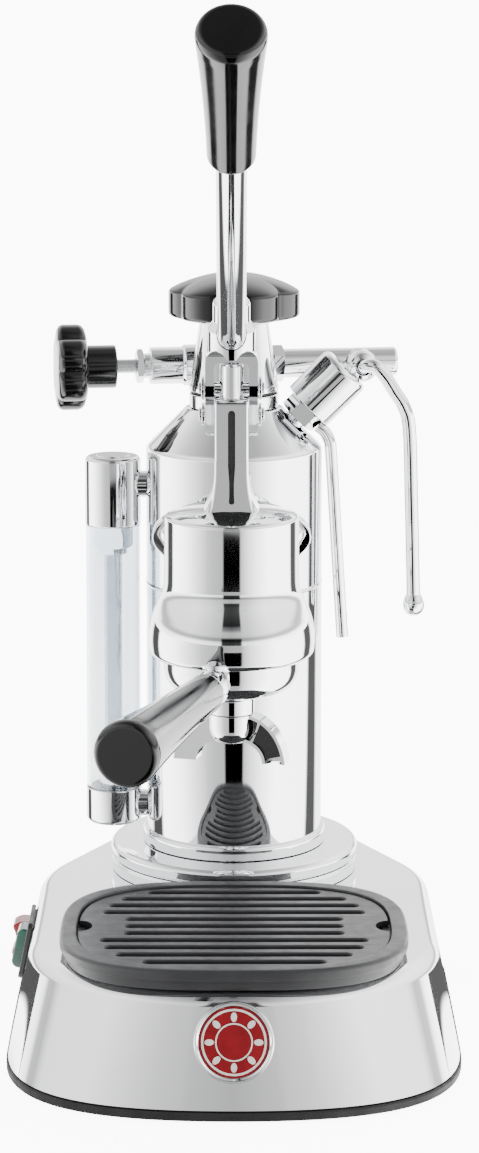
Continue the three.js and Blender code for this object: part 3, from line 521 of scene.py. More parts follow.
def piece(node, mesh, place=MACHINE, finish=None, name=None, stands_for=True, sharp=35):
    """Puts a finished mesh in the scene in place of a CAD node, or beside it as a detail of it."""
    name = name or node + "_fine"
    moved(mesh, place)
    bmesh.ops.recalc_face_normals(mesh, faces=mesh.faces)
    for face in mesh.faces:
        face.smooth = True
    data = as_data(name, mesh)
    data.set_sharp_from_angle(angle=math.radians(sharp))
    thing = linked(name, data)
    data.materials.append(finish or FINISH_OF_SLOT[SLOT_OF[node]])
    weighted = thing.modifiers.new("weighted normals", "WEIGHTED_NORMAL")
    weighted.keep_sharp = True
    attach(thing, BODY_OF[node])
    if stands_for:
        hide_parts(node)
    return thing


# ---- base


def bezier(a, b, c, d, steps):
    points = []
    for i in range(steps):
        t = i / steps
        weights = ((1 - t) ** 3, 3 * t * (1 - t) ** 2, 3 * t * t * (1 - t), t ** 3)
        points.append(tuple(sum(w * p[k] for w, p in zip(weights, (a, b, c, d))) for k in (0, 1)))
    return points


def line(a, b, steps):
    return [tuple(Vector(a).lerp(Vector(b), i / steps)) for i in range(steps)]


def soft_corner(a, corner, b):
    """A bend from a to b that is pulled towards a corner."""
    pulls = [[end[k] + (corner[k] - end[k]) * 2 / 3 for k in (0, 1)] for end in (a, b)]
    return bezier(a, *pulls, b, 16)


def half_outline(plan):
    """The right half of the base's outline, from the middle of its front to the middle of its back."""
    shoulder, heel = Vector(plan["shoulder"]), Vector(plan["heel"])
    towards = (heel - shoulder).normalized()
    start, end = shoulder + BASE_SHOULDER_BEND * towards, heel - BASE_HEEL_BEND * towards
    before = (shoulder.x, shoulder.y - BASE_SHOULDER_BEND)
    after = (heel.x - BASE_HEEL_BEND, heel.y)
    return (
        bezier((0, plan["front"]), plan["front_pull"], plan["side_pull"], plan["side"], 40)
        + line(plan["side"], before, 6) + soft_corner(before, shoulder, start)
        + line(start, end, 5) + soft_corner(end, heel, after)
        + line(after, (0, heel.y), 5) + [(0, heel.y)]
    )


LOW_OUTLINE, HIGH_OUTLINE = half_outline(BASE_BOTTOM), half_outline(BASE_TOP)


def base_outline(z, inset):
    """The base's whole outline at a height, drawn in towards its centre."""
    level = (z - SHELL_FOOT_Z) / SHELL_HEIGHT
    pairs = zip(LOW_OUTLINE, HIGH_OUTLINE)
    right = [(a[0] + (b[0] - a[0]) * level, a[1] + (b[1] - a[1]) * level) for a, b in pairs]
    whole = right + [(-x, y) for x, y in right[-2:0:-1]]
    made = []
    for x, y in whole:
        scale = 1 - inset / math.hypot(x, y - BASE_CENTRE_Y)
        made.append((x * scale, BASE_CENTRE_Y + (y - BASE_CENTRE_Y) * scale))
    return made


def base_ring(z, inset):
    return [(x, y, z) for x, y in base_outline(z, inset)]


def switch_frame():
    """Stands on the left wall, with x towards the front, y up the wall and z out of it."""
    low, high = BASE_BOTTOM["side"][0], BASE_TOP["side"][0]
    lean = math.atan((low - high) / SHELL_HEIGHT)
    level = (SWITCH_Z - SHELL_FOOT_Z) / SHELL_HEIGHT
    x, y, z = (0, -1, 0), (math.sin(lean), 0, math.cos(lean)), (-math.cos(lean), 0, math.sin(lean))
    basis = Matrix((x, y, z)).transposed().to_4x4()
    return shift(-(low + (high - low) * level), SWITCH_Y, SWITCH_Z) @ basis


SWITCH_WALL = switch_frame()
REAR_LEAN = math.atan((BASE_BOTTOM["heel"][1] - BASE_TOP["heel"][1]) / SHELL_HEIGHT)
INLET_Y = BASE_BOTTOM["heel"][1] - (INLET_Z - SHELL_FOOT_Z) * math.tan(REAR_LEAN)
INLET = aim((0, INLET_Y, INLET_Z), (0, math.cos(REAR_LEAN), math.sin(REAR_LEAN)))


def build_base():
    turns = [math.radians(9 * k) for k in range(11)]
    bend = [(DECK_Z - DECK_EDGE * (1 - math.sin(a)), DECK_EDGE * (1 - math.cos(a)) * 0.9) for a in turns]
    outer = [(SHELL_FOOT_Z, 0.5), (SHELL_FOOT_Z + 0.5, 0), *bend, (DECK_Z, 30)]
    inner = [(DECK_UNDER_Z, 5), (43, SHELL_WALL), (SHELL_FOOT_Z, SHELL_WALL)]
    rings = [base_ring(z, inset) for z, inset in inner + outer]
    mesh = skin([[(0, BASE_CENTRE_Y, DECK_UNDER_Z)], *rings, [(0, BASE_CENTRE_Y, DECK_Z)]])
    boiler_hole = disc(BOILER_R + 1.2, 43, 51, 0)
    window = moved(block((-14.3, -10.8, -8), (14.3, 10.8, 4)), SWITCH_WALL)
    cord_hole = moved(disc(7, -8, 4, 0, 32), INLET)
    piece("base_shell", carve(mesh, boiler_hole, window, cord_hole))
    bands = ((1.2, 0.2), (1.7, 0.8), (4.2, 0.8), (4.7, 0.3))
    outer = [(base_outline(SHELL_FOOT_Z, -grow), z) for z, grow in bands]
    inner = [(base_outline(SHELL_FOOT_Z, 2.6), z) for z in (1.2, 4.7)]
    piece("base_trim", hollow_loft(outer, inner))
    for node in ("foot_front_left", "foot_front_right", "foot_rear_left", "foot_rear_right"):
        middle = centre(node) / MM
        foot = lathe([(0, 0), (7.4, 0), (8.6, 1), (8.6, 2.1), (0, 2.1)], 0.3, 48)
        piece(node, moved(foot, shift(middle.x, middle.y, 0)), ROOT)


def build_badge():
    slope = math.atan((BASE_TOP["front"] - BASE_BOTTOM["front"]) / SHELL_HEIGHT)
    y = BASE_BOTTOM["front"] + (BADGE_Z - SHELL_FOOT_Z) * math.tan(slope)
    place = MACHINE @ aim((0, y, BADGE_Z), (0, -math.cos(slope), math.sin(slope))) @ shift(0, 0, 0.45)
    rim = [(14.2, 0.2), (16, 0, 0.3), (16.3, 0.8), (16.3, 2.0, 0.8), (15.5, 2.8, 0.6), (14.2, 1.6)]
    piece("front_badge", lathe(rim, 0.3, 128), place, CHROME)
    field_r, field_z = 14.1, 1.75
    field = lathe([(0, 0), (field_r, 0), (field_r, field_z, 0.3), (0, 2.05)], 0.2, 128)
    piece("front_badge", field, place, name="badge_field", stands_for=False)
    for name, outer, inner in (("badge_ring_outer", 13.2, 12.3), ("badge_ring_inner", 7.6, 7.0)):
        height = field_z + 0.3 * (1 - outer / field_r)
        band = ring(outer, inner, height - 0.5, height + 0.16, 0.08, 128)
        piece("front_badge", band, place, CREAM_ENAMEL, name, stands_for=False)
    petals = []
    for k in range(8):
        petal = plate([[(x, y * 1.5) for x, y in polygon(32, 1.25)]], 0.7, 0.1)
        petals.append(moved(petal, turn(45 * k, "Z") @ shift(0, 9.95, field_z)))
    piece("front_badge", joined(*petals), place, CREAM_ENAMEL, "badge_petals", stands_for=False)


def build_switch():
    wall = MACHINE @ SWITCH_WALL
    half = SWITCH_BAY_HALF
    rim = rounded([(-15.5, -12.5), (15.5, -12.5), (15.5, 12.5), (-15.5, 12.5)], 2.2, True, 6)
    bays = [rounded([(a, -half), (b, -half), (b, half), (a, half)], 0.6, True, 4) for a, b in SWITCH_BAYS]
    flange = moved(plate([rim, *bays], 2.0, 0.6), shift(0, 0, 1.4))
    pockets = [block((a, -half, -9), (b, half, 4)) for a, b in SWITCH_BAYS]
    body = carve(block((-14, -10.5, -12), (14, 10.5, 0.9)), *pockets)
    piece("switch_bezel", joined(flange, body), wall)
    lens = rounded([(-8.8, -8.5), (8.8, -8.5), (8.8, 4.6), (7, 6.4), (-7, 6.4), (-8.8, 4.6)], 1.2, True)
    piece("power_lamp", side_view(plate([lens], 11.4, 0.7), 6.9), wall)
    outline = [
        (-8.4, -3), (8.4, -3), (8.4, 5.5, 1.2), (6.5, 9.4, 1.6), (0, 6.6, 5), (-6.5, 9.4, 1.6),
        (-8.4, 5.5, 1.2),
    ]
    rocker = side_view(plate([rounded(outline, 0.5, True, 6)], 11.4, 0.6), -6.9)
    piece("power_switch", moved(rocker, shift(0, 0, -1) @ turn(8, "X")), wall)


def build_inlet():
    relief = [(3.5, -5), (6, -5), (6, 0.5), (9, 0.5, 0.8), (9, 3, 0.8), (6.6, 4)]
    for k in range(4):
        z = 4.4 + 1.7 * k
        radius = 6.5 - 0.22 * k
        relief += [(radius - in_by, z + up) for in_by, up in ((0.8, 0), (0.1, 0.3), (0.2, 1.1), (0.9, 1.3))]
    relief += [(5.3, 11, 0.4), (3.5, 11, 0.4)]
    piece("cable_inlet", lathe(relief, 0.2, 64), MACHINE @ INLET)


# ---- boiler


def build_boiler():
    inner = BOILER_R - BOILER_WALL
    lip_z = SHOULDER_TOP_Z - 2.4
    shell = [
        (inner, 40), (BOILER_R, 40), (BOILER_R, 62, 0.15), (41.4, 62, 0.5), (41.4, 67, 0.7),
        (40.6, 68.2, 0.4), (BOILER_R, 68.2, 0.15), (BOILER_R, 180.2, 0.2), (40.0, 181, 0.35),
        (BOILER_R, 181.8, 0.2), (BOILER_R, SHOULDER_Z, 1.6), (SHOULDER_TOP_R, SHOULDER_TOP_Z, 0.8),
        (17, SHOULDER_TOP_Z), (17, lip_z), (20.5, lip_z), (inner, SHOULDER_Z - 0.8), (inner, 48),
        (33.5, 48), (33.5, 46), (inner, 46),
    ]
    piece("boiler_shell", lathe(shell, 0.2, 160, 5))
    flange = [(40, 55), (54.6, 55, 0.4), (56, 56.2, 0.8), (56, 60.2, 0.8), (54.4, 61.7, 0.8), (40, 61.7)]
    piece("boiler_flange", lathe(flange, 0.2, 160, 5))
    foot_ring = [(40, 49.3), (55.5, 49.3), (55.5, 54, 0.5), (54.8, 54.7, 0.4), (40, 54.7)]
    piece("boiler_base_ring", lathe(foot_ring, 0.2, 160))
    neck_z = SHOULDER_TOP_Z + 0.3
    neck = [(16.4, neck_z), (20, neck_z), (20, NECK_TOP_Z, 0.5), (16.4, NECK_TOP_Z)]
    piece("filler_neck", lathe(neck, 0.3))


def build_cap():
    cone = [
        (0, 256), (14.6, 256), (15.9, 258), (15.9, 268), (20.1, 268, 0.3), (20.1, 270.2, 0.5),
        (19.7, 271, 0.4), (15.4, 299, 0.4), (0, 299),
    ]
    piece("boiler_cap", lathe(cone, 0.3))
    rows = [
        (8, 299.3), (15, 299.3), (20, 299.7), (24.5, 300.3), (27.6, 301), (28.8, 301.5), (29.35, 302.2),
        (CAP_KNOB_R, 303.1), (CAP_KNOB_R, 307), (CAP_KNOB_R, 311.6), (29.4, 312.4), (29, 313.1),
        (28.3, 313.7), (26.5, 314.7), (24, 315.9), (21, 317.1), (17.5, 318.3), (14, 319.3), (10, 320.2),
        (5, 320.8), (2, 321),
    ]
    outlines = [lobed(r, 0.17 * min(1, (r / CAP_KNOB_R) ** 3), 288) for r, _ in rows]
    piece("cap_knob", loft([turned_outline(o, CAP_KNOB_TURN) for o in outlines], [z for _, z in rows]))
    piece("cap_gasket", ring(19.4, 16.4, NECK_TOP_Z + 0.3, NECK_TOP_Z + 1.1, 0.2))


def lobed(radius, hollow, steps):
    """A lobed outline, drawn in between its lobes by a share of its radius."""
    made = []
    for i in range(steps):
        angle = 2 * math.pi * i / steps
        wave = 0.5 + 0.5 * math.cos(KNOB_LOBES * angle)
        reach = radius * (1 - hollow * (1 - (LOBE_FLOOR + (1 - LOBE_FLOOR) * wave) ** LOBE_POWER))
        made.append((reach * math.cos(angle), reach * math.sin(angle)))
    return made


def gauge_arm(z):
    return moved(disc(6, 0, GAUGE_X - BOILER_R + 0.2, 0, 48), shift(0, 0, z) @ turn(90, "Y"))


def build_gauge():
    upper = lathe([(4.5, 207), (12.5, 207, 0.5), (12.5, 236.8, 1.3), (11.2, 238, 0.6), (4.5, 238)], 0.2)
    plug = lathe([(0, 214), (4.6, 214), (4.6, 230), (7.6, 230), (7.6, 238.5, 0.4), (0, 238.5)], 0.2, 72)
    piece("gauge_upper_housing", joined(upper, plug, gauge_arm(225)), GAUGE)
    lower = [(4.5, 80), (4.5, 86), (12.5, 86, 0.5), (12.5, 71.3, 1.2), (11.2, 70, 0.6), (0, 70), (0, 80)]
    piece("gauge_lower_housing", joined(lathe(lower, 0.2), gauge_arm(78)), GAUGE)
    nut = carve(hexagon(8.8, 196.5, 206.7), disc(4.6, 190, 210, 0, 48))
    piece("gauge_nut", joined(nut, ring(6.4, 4.6, 193.6, 196.6, 0.3, 64)), GAUGE)
    piece("gauge_shield", ring(12.2, 10.8, 86.3, 206.7, 0.2, 128), GAUGE)
    piece("gauge_tube", ring(4.1, 2.9, 81, 212, 0.2, 64), GAUGE)
    lower_nut = ring(6.6, 4.4, 86, 93, 0.6, 64)
    piece("gauge_lower_housing", lower_nut, GAUGE, CHROME, "gauge_lower_collar", stands_for=False)


# ---- brewing group


def oval(y0, y1):
    """The flange between boiler and group, from y0 to y1."""
    outline = [(34.5 * x, 15 * y) for x, y in polygon(96, 1)]
    return moved(front_view(plate([outline], y1 - y0, 0.6)), shift(GROUP_X, (y0 + y1) / 2, FLANGE_Z - 2.5))


def bolt_line(side, y):
    """The line of one of the two flange bolts, from a y towards the front."""
    return aim((GROUP_X + side * BOLT_X, y, FLANGE_Z), (0, -1, 0))


def build_joint():
    tube = moved(disc(11.5, 0, 13, 0.2, 64), aim((GROUP_X, -34, PORT_Z), (0, -1, 0)))
    holes = [moved(disc(BORE_R, 0, 30, 0, 32), bolt_line(side, -38)) for side in (-1, 1)]
    piece("boiler_port", joined(tube, carve(oval(-51, -46), *holes)))
    piece("flange_gasket", oval(-52.7, -51.3))
    for side, node in ((-1, "flange_bolt_left"), (1, "flange_bolt_right")):
        head = hexagon(6, 41.1, 45.7)
        shank = disc(3, 42, 62, 0.2, 32)
        nut = hexagon(6.6, 59.3, 64.4)
        dome = lathe([(0, 64.2), (5.4, 64.2), (5.2, 66, 1.5), (3.6, 68, 1.5), (0, 68.7)], 0.6, 48)
        piece(node, joined(head, shank, nut, dome), MACHINE @ bolt_line(side, 0))


def slit_outline(inset):
    """The long slot in the front of the post, wider above than below, as (x, z) pairs."""
    low, high = 235.2, 272.3
    wide, narrow, foot = 1.5 - inset, 1.0 - inset, 1.25 - inset
    top = arc((0, high), wide, 0, 180, 10)
    end = arc((0, low), foot, 200, 340, 10)
    return [
        *top, (-wide, 250), (-narrow, 243), (-narrow, 238), *end, (narrow, 238), (narrow, 243), (wide, 250),
    ]


def group_post():
    """The post, with a slot for the rod and its pin, the fulcrum's bore and a slit in front."""
    fulcrum = (FULCRUM[1] - AXIS_Y - GROUP_Y, FULCRUM[2])
    outline = [
        (-7, 222), (13, 222), (13, 240, 4), (21, 258, 4), *arc(fulcrum, 7.5, -20, 100, 24), (9, 278.5, 1),
        (-5.5, 278.5, 0.8), (-7, 276.8, 0.8),
    ]
    plank = side_view(plate([rounded(outline, 0, True)], 2 * POST_HALF, 0.9))
    outlines, heights = [], []
    for k in range(13):
        share = k / 12
        flare = (1 - share) ** 3
        w, y0, y1 = 7.2 + 7.5 * flare, -7.1 - 0.8 * flare, 13 + 4 * flare
        outlines.append(rounded([(-w, y0), (w, y0), (w, y1), (-w, y1)], 1.3 + 4 * (w - 7.2) / 7.5, True, 6))
        heights.append(226.2 + 26 * share)
    post = carve(plank, loft(outlines, heights), operation="UNION")
    rod_bore = disc(5.45, 210, 290, 0, 48)
    pin_slot = block((-12, -2.9, 254), (12, 2.9, 283))
    fulcrum_bore = moved(disc(BORE_R, -12, 12, 0, 32), shift(0, *fulcrum) @ turn(90, "Y"))
    slit = front_view(plate([slit_outline(0)], 8, 0), -8)
    return carve(post, rod_bore, pin_slot, fulcrum_bore, slit)


def build_group():
    casting = [
        (29.6, 168), (32.6, 168, 0.8), (34.9, 170, 2.2), (35.4, 175.5, 4), (34.8, 182.5, 5), (32, 190.6, 5),
        (28.6, 197.4, 5), (28.5, 208, 3), (28.5, 228.4, 1.7), (22, 229.5, 2), (14, 230.3, 2), (8, 231, 1),
        (6, 231), (6, 222), (24, 222), (24, 183.4), (27.4, 183.4), (27.4, 181), (32, 181), (32, 169.8),
        (29.6, 169.8),
    ]
    body = lathe(casting, 0.15, 144, 7)
    neck = lathe([(0, 0), (13, 0), (12.6, 3, 2), (13, 16.5), (0, 16.5)], 0.2, 72)
    neck = moved(neck, aim((0, 25.5, PORT_Z), (0, 1, 0)))
    flange = moved(oval(-59, -53), shift(-GROUP_X, -GROUP_Y, 0))
    piece("group_body", joined(body, neck, flange, group_post()), GROUP, sharp=30)
    # A thin black sheet inside the front slit: painted shade that stands in for the dark depth of the slot.
    painted_shade = front_view(plate([slit_outline(0.12)], 0.9, 0), -6.1)
    piece("group_body", painted_shade, GROUP, BLACK, "post_slit_painted_shade", stands_for=False)
    piece("cylinder_sleeve", ring(23.6, 22.1, 183.7, 221.7, 0.2), GROUP)
    piece("shower_screen", perforated(27.1, 181.3, 182.3), GROUP)
    piece("group_gasket", ring(31.6, 25.5, 177.7, 180.7, 0.5), GROUP)


def perforated(radius, low, high):
    """A disc with rings of small holes round one in the middle."""
    spots = [(0, 0)]
    for k in range(1, 5):
        spots += polygon(6 * k, 5 * k)
    holes = [[(x + a, y + b) for a, b in polygon(8, 0.8)] for x, y in spots]
    return moved(plate([polygon(96, radius), *holes], high - low, 0.15), shift(0, 0, (low + high) / 2))


def clipped_pin(radius):
    """A pin across x with a clip just past the fork's cheek on each side."""
    clip = POST_HALF + PIN_GAP + FORK_CHEEK + PIN_GAP
    inside, outside, end = clip, clip + 1.3, clip + 2.6
    half = [(radius, inside), (5, inside, 0.3), (5, outside, 0.3), (radius, outside, 0.1), (radius, end, 0.5)]
    profile = [(0, -end), *[(r, -z, *rest) for r, z, *rest in half[::-1]], *half, (0, end)]
    return moved(lathe(profile, 0.1, 40), turn(90, "Y"))


def build_piston():
    head = [
        (3.5, 209), (21.6, 209, 0.4), (21.6, 213), (18.6, 213), (18.6, 217.6), (21.6, 217.6),
        (21.6, 221, 0.4), (3.5, 221),
    ]
    piece("piston_head", lathe(head, 0.1), GROUP)
    piece("piston_seal", ring(21.85, 18.9, 213.3, 217.3, 0.6), GROUP)
    shaft = [
        (0, 209.5), (3.2, 209.5), (3.2, 221.3), (5.15, 221.3), (5.15, 292, 0.5), (4.4, 293, 0.4), (0, 293),
    ]
    eye = moved(disc(2.8, -10, 10, 0, 32), shift(0, 0, PIN_Z) @ turn(90, "Y"))
    piece("piston_rod", carve(lathe(shaft, 0.2, 64), eye), GROUP)
    piece("crosshead_pin", clipped_pin(2.5), GROUP @ shift(0, 0, PIN_Z))


# ---- lever


def build_fork():
    side = [
        *arc((0, 0), 9, 49, -131, 24), (-19.6, 5.7, 3), (-22.6, 9.5, 3), (-24, 14, 3), (-24, 30.4, 2.5),
        (-4, 30.4, 2), (-4, 24, 2),
    ]
    slab = side_view(plate([rounded(side, 0, True, 6)], 26, 0))
    front = [
        (-11.1, -10), (-7.3, -10), (-7.3, 25.6, 3.6), (7.3, 25.6, 3.6), (7.3, -10), (11.1, -10),
        (11.1, 30.4, 5.5), (-11.1, 30.4, 5.5),
    ]
    clevis = front_view(plate([rounded(front, 0, True, 8)], 60, 0), -8)
    angle = math.radians(PIN_SLOT_ANGLE)
    spot = Vector((-PIN_SLOT_REACH * math.cos(angle), PIN_SLOT_REACH * math.sin(angle)))
    slot = side_view(plate([turned_outline(stadium(11.8, 7.8), 180 - PIN_SLOT_ANGLE, spot)], 40, 0))
    bore = moved(disc(BORE_R, -20, 20, 0, 32), turn(90, "Y"))
    fork = eased(carve(carve(slab, clevis, operation="INTERSECT"), slot, bore), 0.7, 35)
    socket = moved(disc(6.4, 0, 60, 0, 64), aim(STEM_START - STEM_AIM * 0.3, STEM_AIM))
    crown = [
        (0, 0), (10.3, 0), (10.3, 11.2, 0.5), (7.9, 14.6, 0.5), (7.9, 22.6, 1.2), (6.4, 24.6, 1), (0, 24.6),
    ]
    lean = math.radians(CROWN_LEAN)
    crown = moved(lathe(crown, 0.2), aim((0, -14, 28), (0, -math.sin(lean), math.cos(lean))))
    piece("lever_fork", joined(fork, carve(crown, socket)), LEVER, sharp=30)


def build_lever():
    place = LEVER @ aim(STEM_START, STEM_AIM)
    piece("lever_stem", disc(6.1, 0, 137, 0.8, 72), place)
    piece("lever_handle", grip(74, 9.6, 13.7, 6.4, 8), place @ shift(0, 0, 130))
    piece("fulcrum_pin", clipped_pin(3), LEVER)


def grip(length, start_r, end_r, bore_r, bore_depth):
    """A handle that swells towards a flat end face with a rounded rim."""
    bore = [(0, bore_depth), (bore_r, bore_depth), (bore_r, 0, 0.2)]
    profile = [*bore, (start_r - 0.6, 0, 0.5), (start_r, 1.2, 0.8)]
    for k in range(1, 20):
        t = k / 20
        profile.append((start_r + (end_r - start_r) * (0.35 * t + 0.65 * t * t), length * t, 1))
    profile += [
        (end_r, length + 1.4, 1.2), (end_r - 0.9, length + 3.4, 0.9), (end_r - 2.2, length + 4.2, 0.9),
        (0, length + 4.4),
    ]
    return lathe(profile, 0.3, 96, 5)


# ---- portafilter


def build_portafilter():
    cup = [
        (3, 143.3), (9.8, 143.3, 0.4), (10, 150.4, 1.2), (19, 152.4, 2), (24.5, 154.4, 2.5),
        (27.6, 158, 2.5), (28.75, 162, 2.5), (28.75, 176.5, 0.4), (27.3, 176.5), (27.3, 159), (25, 155.8),
        (3, 154.6),
    ]
    lugs = []
    for spin in (0, 180):
        lug = arc((0, 0), 31.3, -20, 20, 16) + arc((0, 0), 28, 20, -20, 16)
        lugs.append(moved(plate([lug], 4.5, 0.3), turn(spin, "Z") @ shift(0, 0, 172.75)))
    ferrule = [
        (0, 0), (6.4, 0), (6.4, 7.6, 0.6), (6.9, 8.4, 0.5), (7.9, 9.6, 0.5), (7.9, 16.6, 0.4),
        (7.4, 17, 0.2), (4.5, 17), (4.5, 34), (0, 34),
    ]
    ferrule = moved(lathe(ferrule, 0.2, 72), aim(HANDLE_START, HANDLE_AIM))
    piece("portafilter_body", joined(lathe(cup, 0.3, 128, 6), *lugs, ferrule), PORTAFILTER)


def build_spout():
    hub = [
        (0, 129.6), (4.6, 129.9, 2.5), (8.3, 131.9, 3), (9.8, 136, 2), (9.8, 143, 0.2), (3, 143), (3, 136),
        (0, 136),
    ]
    outer = bezier((6, 143.4), (16, 142.8), (23.4, 134), (24.3, 122.6), 28) + [(24.3, 122.6)]
    inner = bezier((6, 131.6), (10.5, 130.6), (14.2, 127.5), (14.4, 122.6), 28) + [(14.4, 122.6)]
    sections = [gutter_section(a, b) for a, b in zip(outer, inner)]
    arms = [moved(capped(sections), turn(spin, "Z")) for spin in (0, 180)]
    piece("portafilter_spout", joined(lathe(hub, 0.2), *arms), PORTAFILTER, sharp=50)
    # Black blocks filling each arm's channel: painted shade that stands in for the shade in the open gutter.
    above, below = [], []
    for a, b in list(zip(outer, inner))[8:26]:
        a, b = Vector(a), Vector(b)
        along = (b - a).normalized()
        above.append(tuple(a + along * 1.5))
        below.append(tuple(b - along * 1.5))
    for spin, name in ((0, "spout_channel_right_painted_shade"), (180, "spout_channel_left_painted_shade")):
        painted_shade = moved(front_view(plate([above + below[::-1]], 4.8, 0), -1), turn(spin, "Z"))
        piece("portafilter_spout", painted_shade, PORTAFILTER, BLACK, name, stands_for=False)


def build_portafilter_fittings():
    basket = [
        (0, 156.2), (24.6, 156.2, 1.6), (26.6, 159.4, 1.5), (26.8, 176.8, 0.2), (28.3, 176.8, 0.2),
        (28.3, 177.4, 0.2), (26, 177.4, 0.4), (25.8, 160, 1.4), (24.2, 157.2, 1.2), (0, 157.2),
    ]
    piece("filter_basket", lathe(basket, 0.2), PORTAFILTER)
    place = PORTAFILTER @ aim(HANDLE_START + HANDLE_AIM * 17.3, HANDLE_AIM)
    piece("portafilter_handle", grip(117, 8.3, 13.2, 4.8, 18), place)


def gutter_section(outer, inner):
    """A gutter's outline between its outer and inner edges: two walls and a floor, open towards the front."""
    top, bottom = [Vector((x, 0, z)) for x, z in (outer, inner)]
    across = Vector((0, SPOUT_HALF, 0))
    inward = (bottom - top) / (bottom - top).length * SPOUT_WALL
    floor = across * 0.55
    return [
        top - across, top + across, bottom + across, bottom - across, bottom - across - inward,
        bottom + floor - inward, top + floor + inward, top - across + inward,
    ]


# ---- steam tap, with +X along its spindle


def build_tap():
    along_x = turn(90, "Y")
    valve = [
        (0, -20), (3.5, -20), (3.5, -41.6), (5.7, -41.6), (5.7, -38.8), (8.4, -38.8, 0.6), (8.4, -24, 0.5),
        (9.4, -23, 0.4), (9.4, 12, 1), (7.6, 13.5, 0.5), (7.6, 17.1), (0, 17.1),
    ]
    pillar = disc(7, -33, 2, 0, 64)
    piece("steam_valve_body", joined(moved(lathe(valve, 0.2, 72), along_x), pillar), TAP)
    gland = carve(hexagon(7.8, -45, -41.9), disc(3.6, -50, -40, 0, 48))
    piece("steam_gland_nut", gland, TAP @ along_x)
    nut = moved(hexagon(8.5, 17.4, 22.6), along_x)
    tube = moved(lathe([(0, 22), (6.6, 22), (6.6, 74.4, 0.9), (5.8, 75.4, 0.5), (0, 75.4)], 0.2, 72), along_x)
    wand_line = aim((WAND_X, 0, 0), (0, -1, 0))
    boss = moved(disc(6.4, 0, 9.5, 0.4, 64), wand_line)
    piece("steam_outlet_tube", joined(nut, tube, boss), TAP)
    ball_nut = [
        (5.5, 9.8), (7.4, 9.8, 0.4), (7.4, 15, 0.8), (6.2, 18, 0.8), (3.9, 19.4, 0.3), (3.9, 18.7),
        (5.5, 15.5),
    ]
    piece("wand_joint_nut", moved(lathe(ball_nut, 0.1, 64), wand_line), TAP)


def build_wand():
    route = [
        (0, -14.8, 0), (0, -19, 0.2), (1.2, -22.6, 1.2), (4.6, -24.6, 0.8), (9, -25, -4),
        (13.1, -25, -10.5), (17.4, -25, -17.5), (20, -25, -28), (21.2, -25, -62), (22.4, -25, -107),
    ]
    path = smooth_path([(WAND_X + x, y, z) for x, y, z in route])
    pipe = sweep(path, polygon(32, 3.15), Vector((0, 0, 1)))
    ball = moved(lathe(ball_profile(5), 0, 48), shift(WAND_X, -14.8, 0))
    tip = [
        (0, -5.2), (2.2, -5.0, 0.5), (3.6, -4.0, 1), (4.8, -2, 1.5), (5, 0.6, 1.5), (4.2, 3, 1.2),
        (3.3, 4.6, 0.6), (0, 5),
    ]
    tip = moved(lathe(tip, 0.3, 64, 6), shift(WAND_X + 22.5, -25, -109) @ turn(-1.6, "Y"))
    piece("steam_wand", joined(pipe, ball, tip), TAP)


def build_tap_knob():
    rows = [
        (11, -81.9), (15, -81.7), (17.6, -81.2), (19, -80.2), (TAP_KNOB_R, -78.8), (TAP_KNOB_R, -71.8),
        (19, -70.2), (17.8, -69), (15, -68.1), (11.5, -67.7),
    ]
    outlines = [lobed(r, 0.2 * min(1, (r / TAP_KNOB_R) ** 2), 192) for r, _ in rows]
    head = loft(outlines, [z for _, z in rows])
    hub = [(0, -70), (9.8, -70), (9.8, -54.6, 0.9), (8.2, -54.3, 0.3), (3.5, -54.3), (3.5, -63), (0, -63)]
    place = TAP @ turn(90, "Y")
    piece("steam_knob", joined(head, lathe(hub, 0.3, 72)), place)
    piece("steam_spindle", disc(3.15, -62.5, -21, 0.3, 48), place)


def ball_profile(radius, steps=24):
    angles = [math.radians(-90 + 180 * i / steps) for i in range(1, steps)]
    return [(0, -radius), *[(radius * math.cos(a), radius * math.sin(a)) for a in angles], (0, radius)]


def build_safety():
    stub = disc(5, -7, 0, 0, 48)
    piece("safety_valve_base", joined(stub, hexagon(9.2, -1.1, 6.1)), SAFETY)
    cap = [
        (7.6, 6.4), (12.15, 6.4, 0.5), (12.15, 28.8, 1.2), (10.6, 30.4, 0.8), (0, 30.4), (0, 27), (7.6, 27),
    ]
    piece("safety_valve_cap", lathe(cap, 0.3), SAFETY)
    path = smooth_path([
        (37.6, 0, 251.4), (40.6, 0, 249), (42.8, 0, 245), (43.6, 0, 240), (45, 0, 218), (47, 0, 186),
        (49, 0, 155),
    ])
    piece("blow_off_pipe", sweep(path, polygon(32, 2.75), Vector((0, 1, 0))))


# ---- drip tray


def bent(value):
    """A sine or cosine, bent so that a circle becomes the tray's squarish oval."""
    return math.copysign(abs(value) ** (2 / TRAY_POWER), value)


def tray_outline(inset):
    half = [value - inset for value in TRAY_HALF]
    return [(half[0] * bent(x), TRAY_CENTRE_Y + half[1] * bent(y)) for x, y in polygon(144, 1)]


def build_tray():
    outer = [
        (3.4, 49.3), (2.6, 49.6), (2, 50.6), (2, 53.5), (1.2, 53.7), (0.3, 54), (0, 54.5), (0, 57),
        (0.3, 57.8), (0.9, 58.4), (1.8, 58.6), (6.2, 58.6), (6.8, 58.4), (7, 57.8), (7, 54.9), (10.3, 54.9),
        (10.7, 54.6), (11.5, 50.7),
    ]
    rings = [[(x, y, z) for x, y in tray_outline(inset)] for inset, z in outer]
    piece("drip_tray", skin([[(0, TRAY_CENTRE_Y, 49.3)], *rings, [(0, TRAY_CENTRE_Y, 50.7)]]))


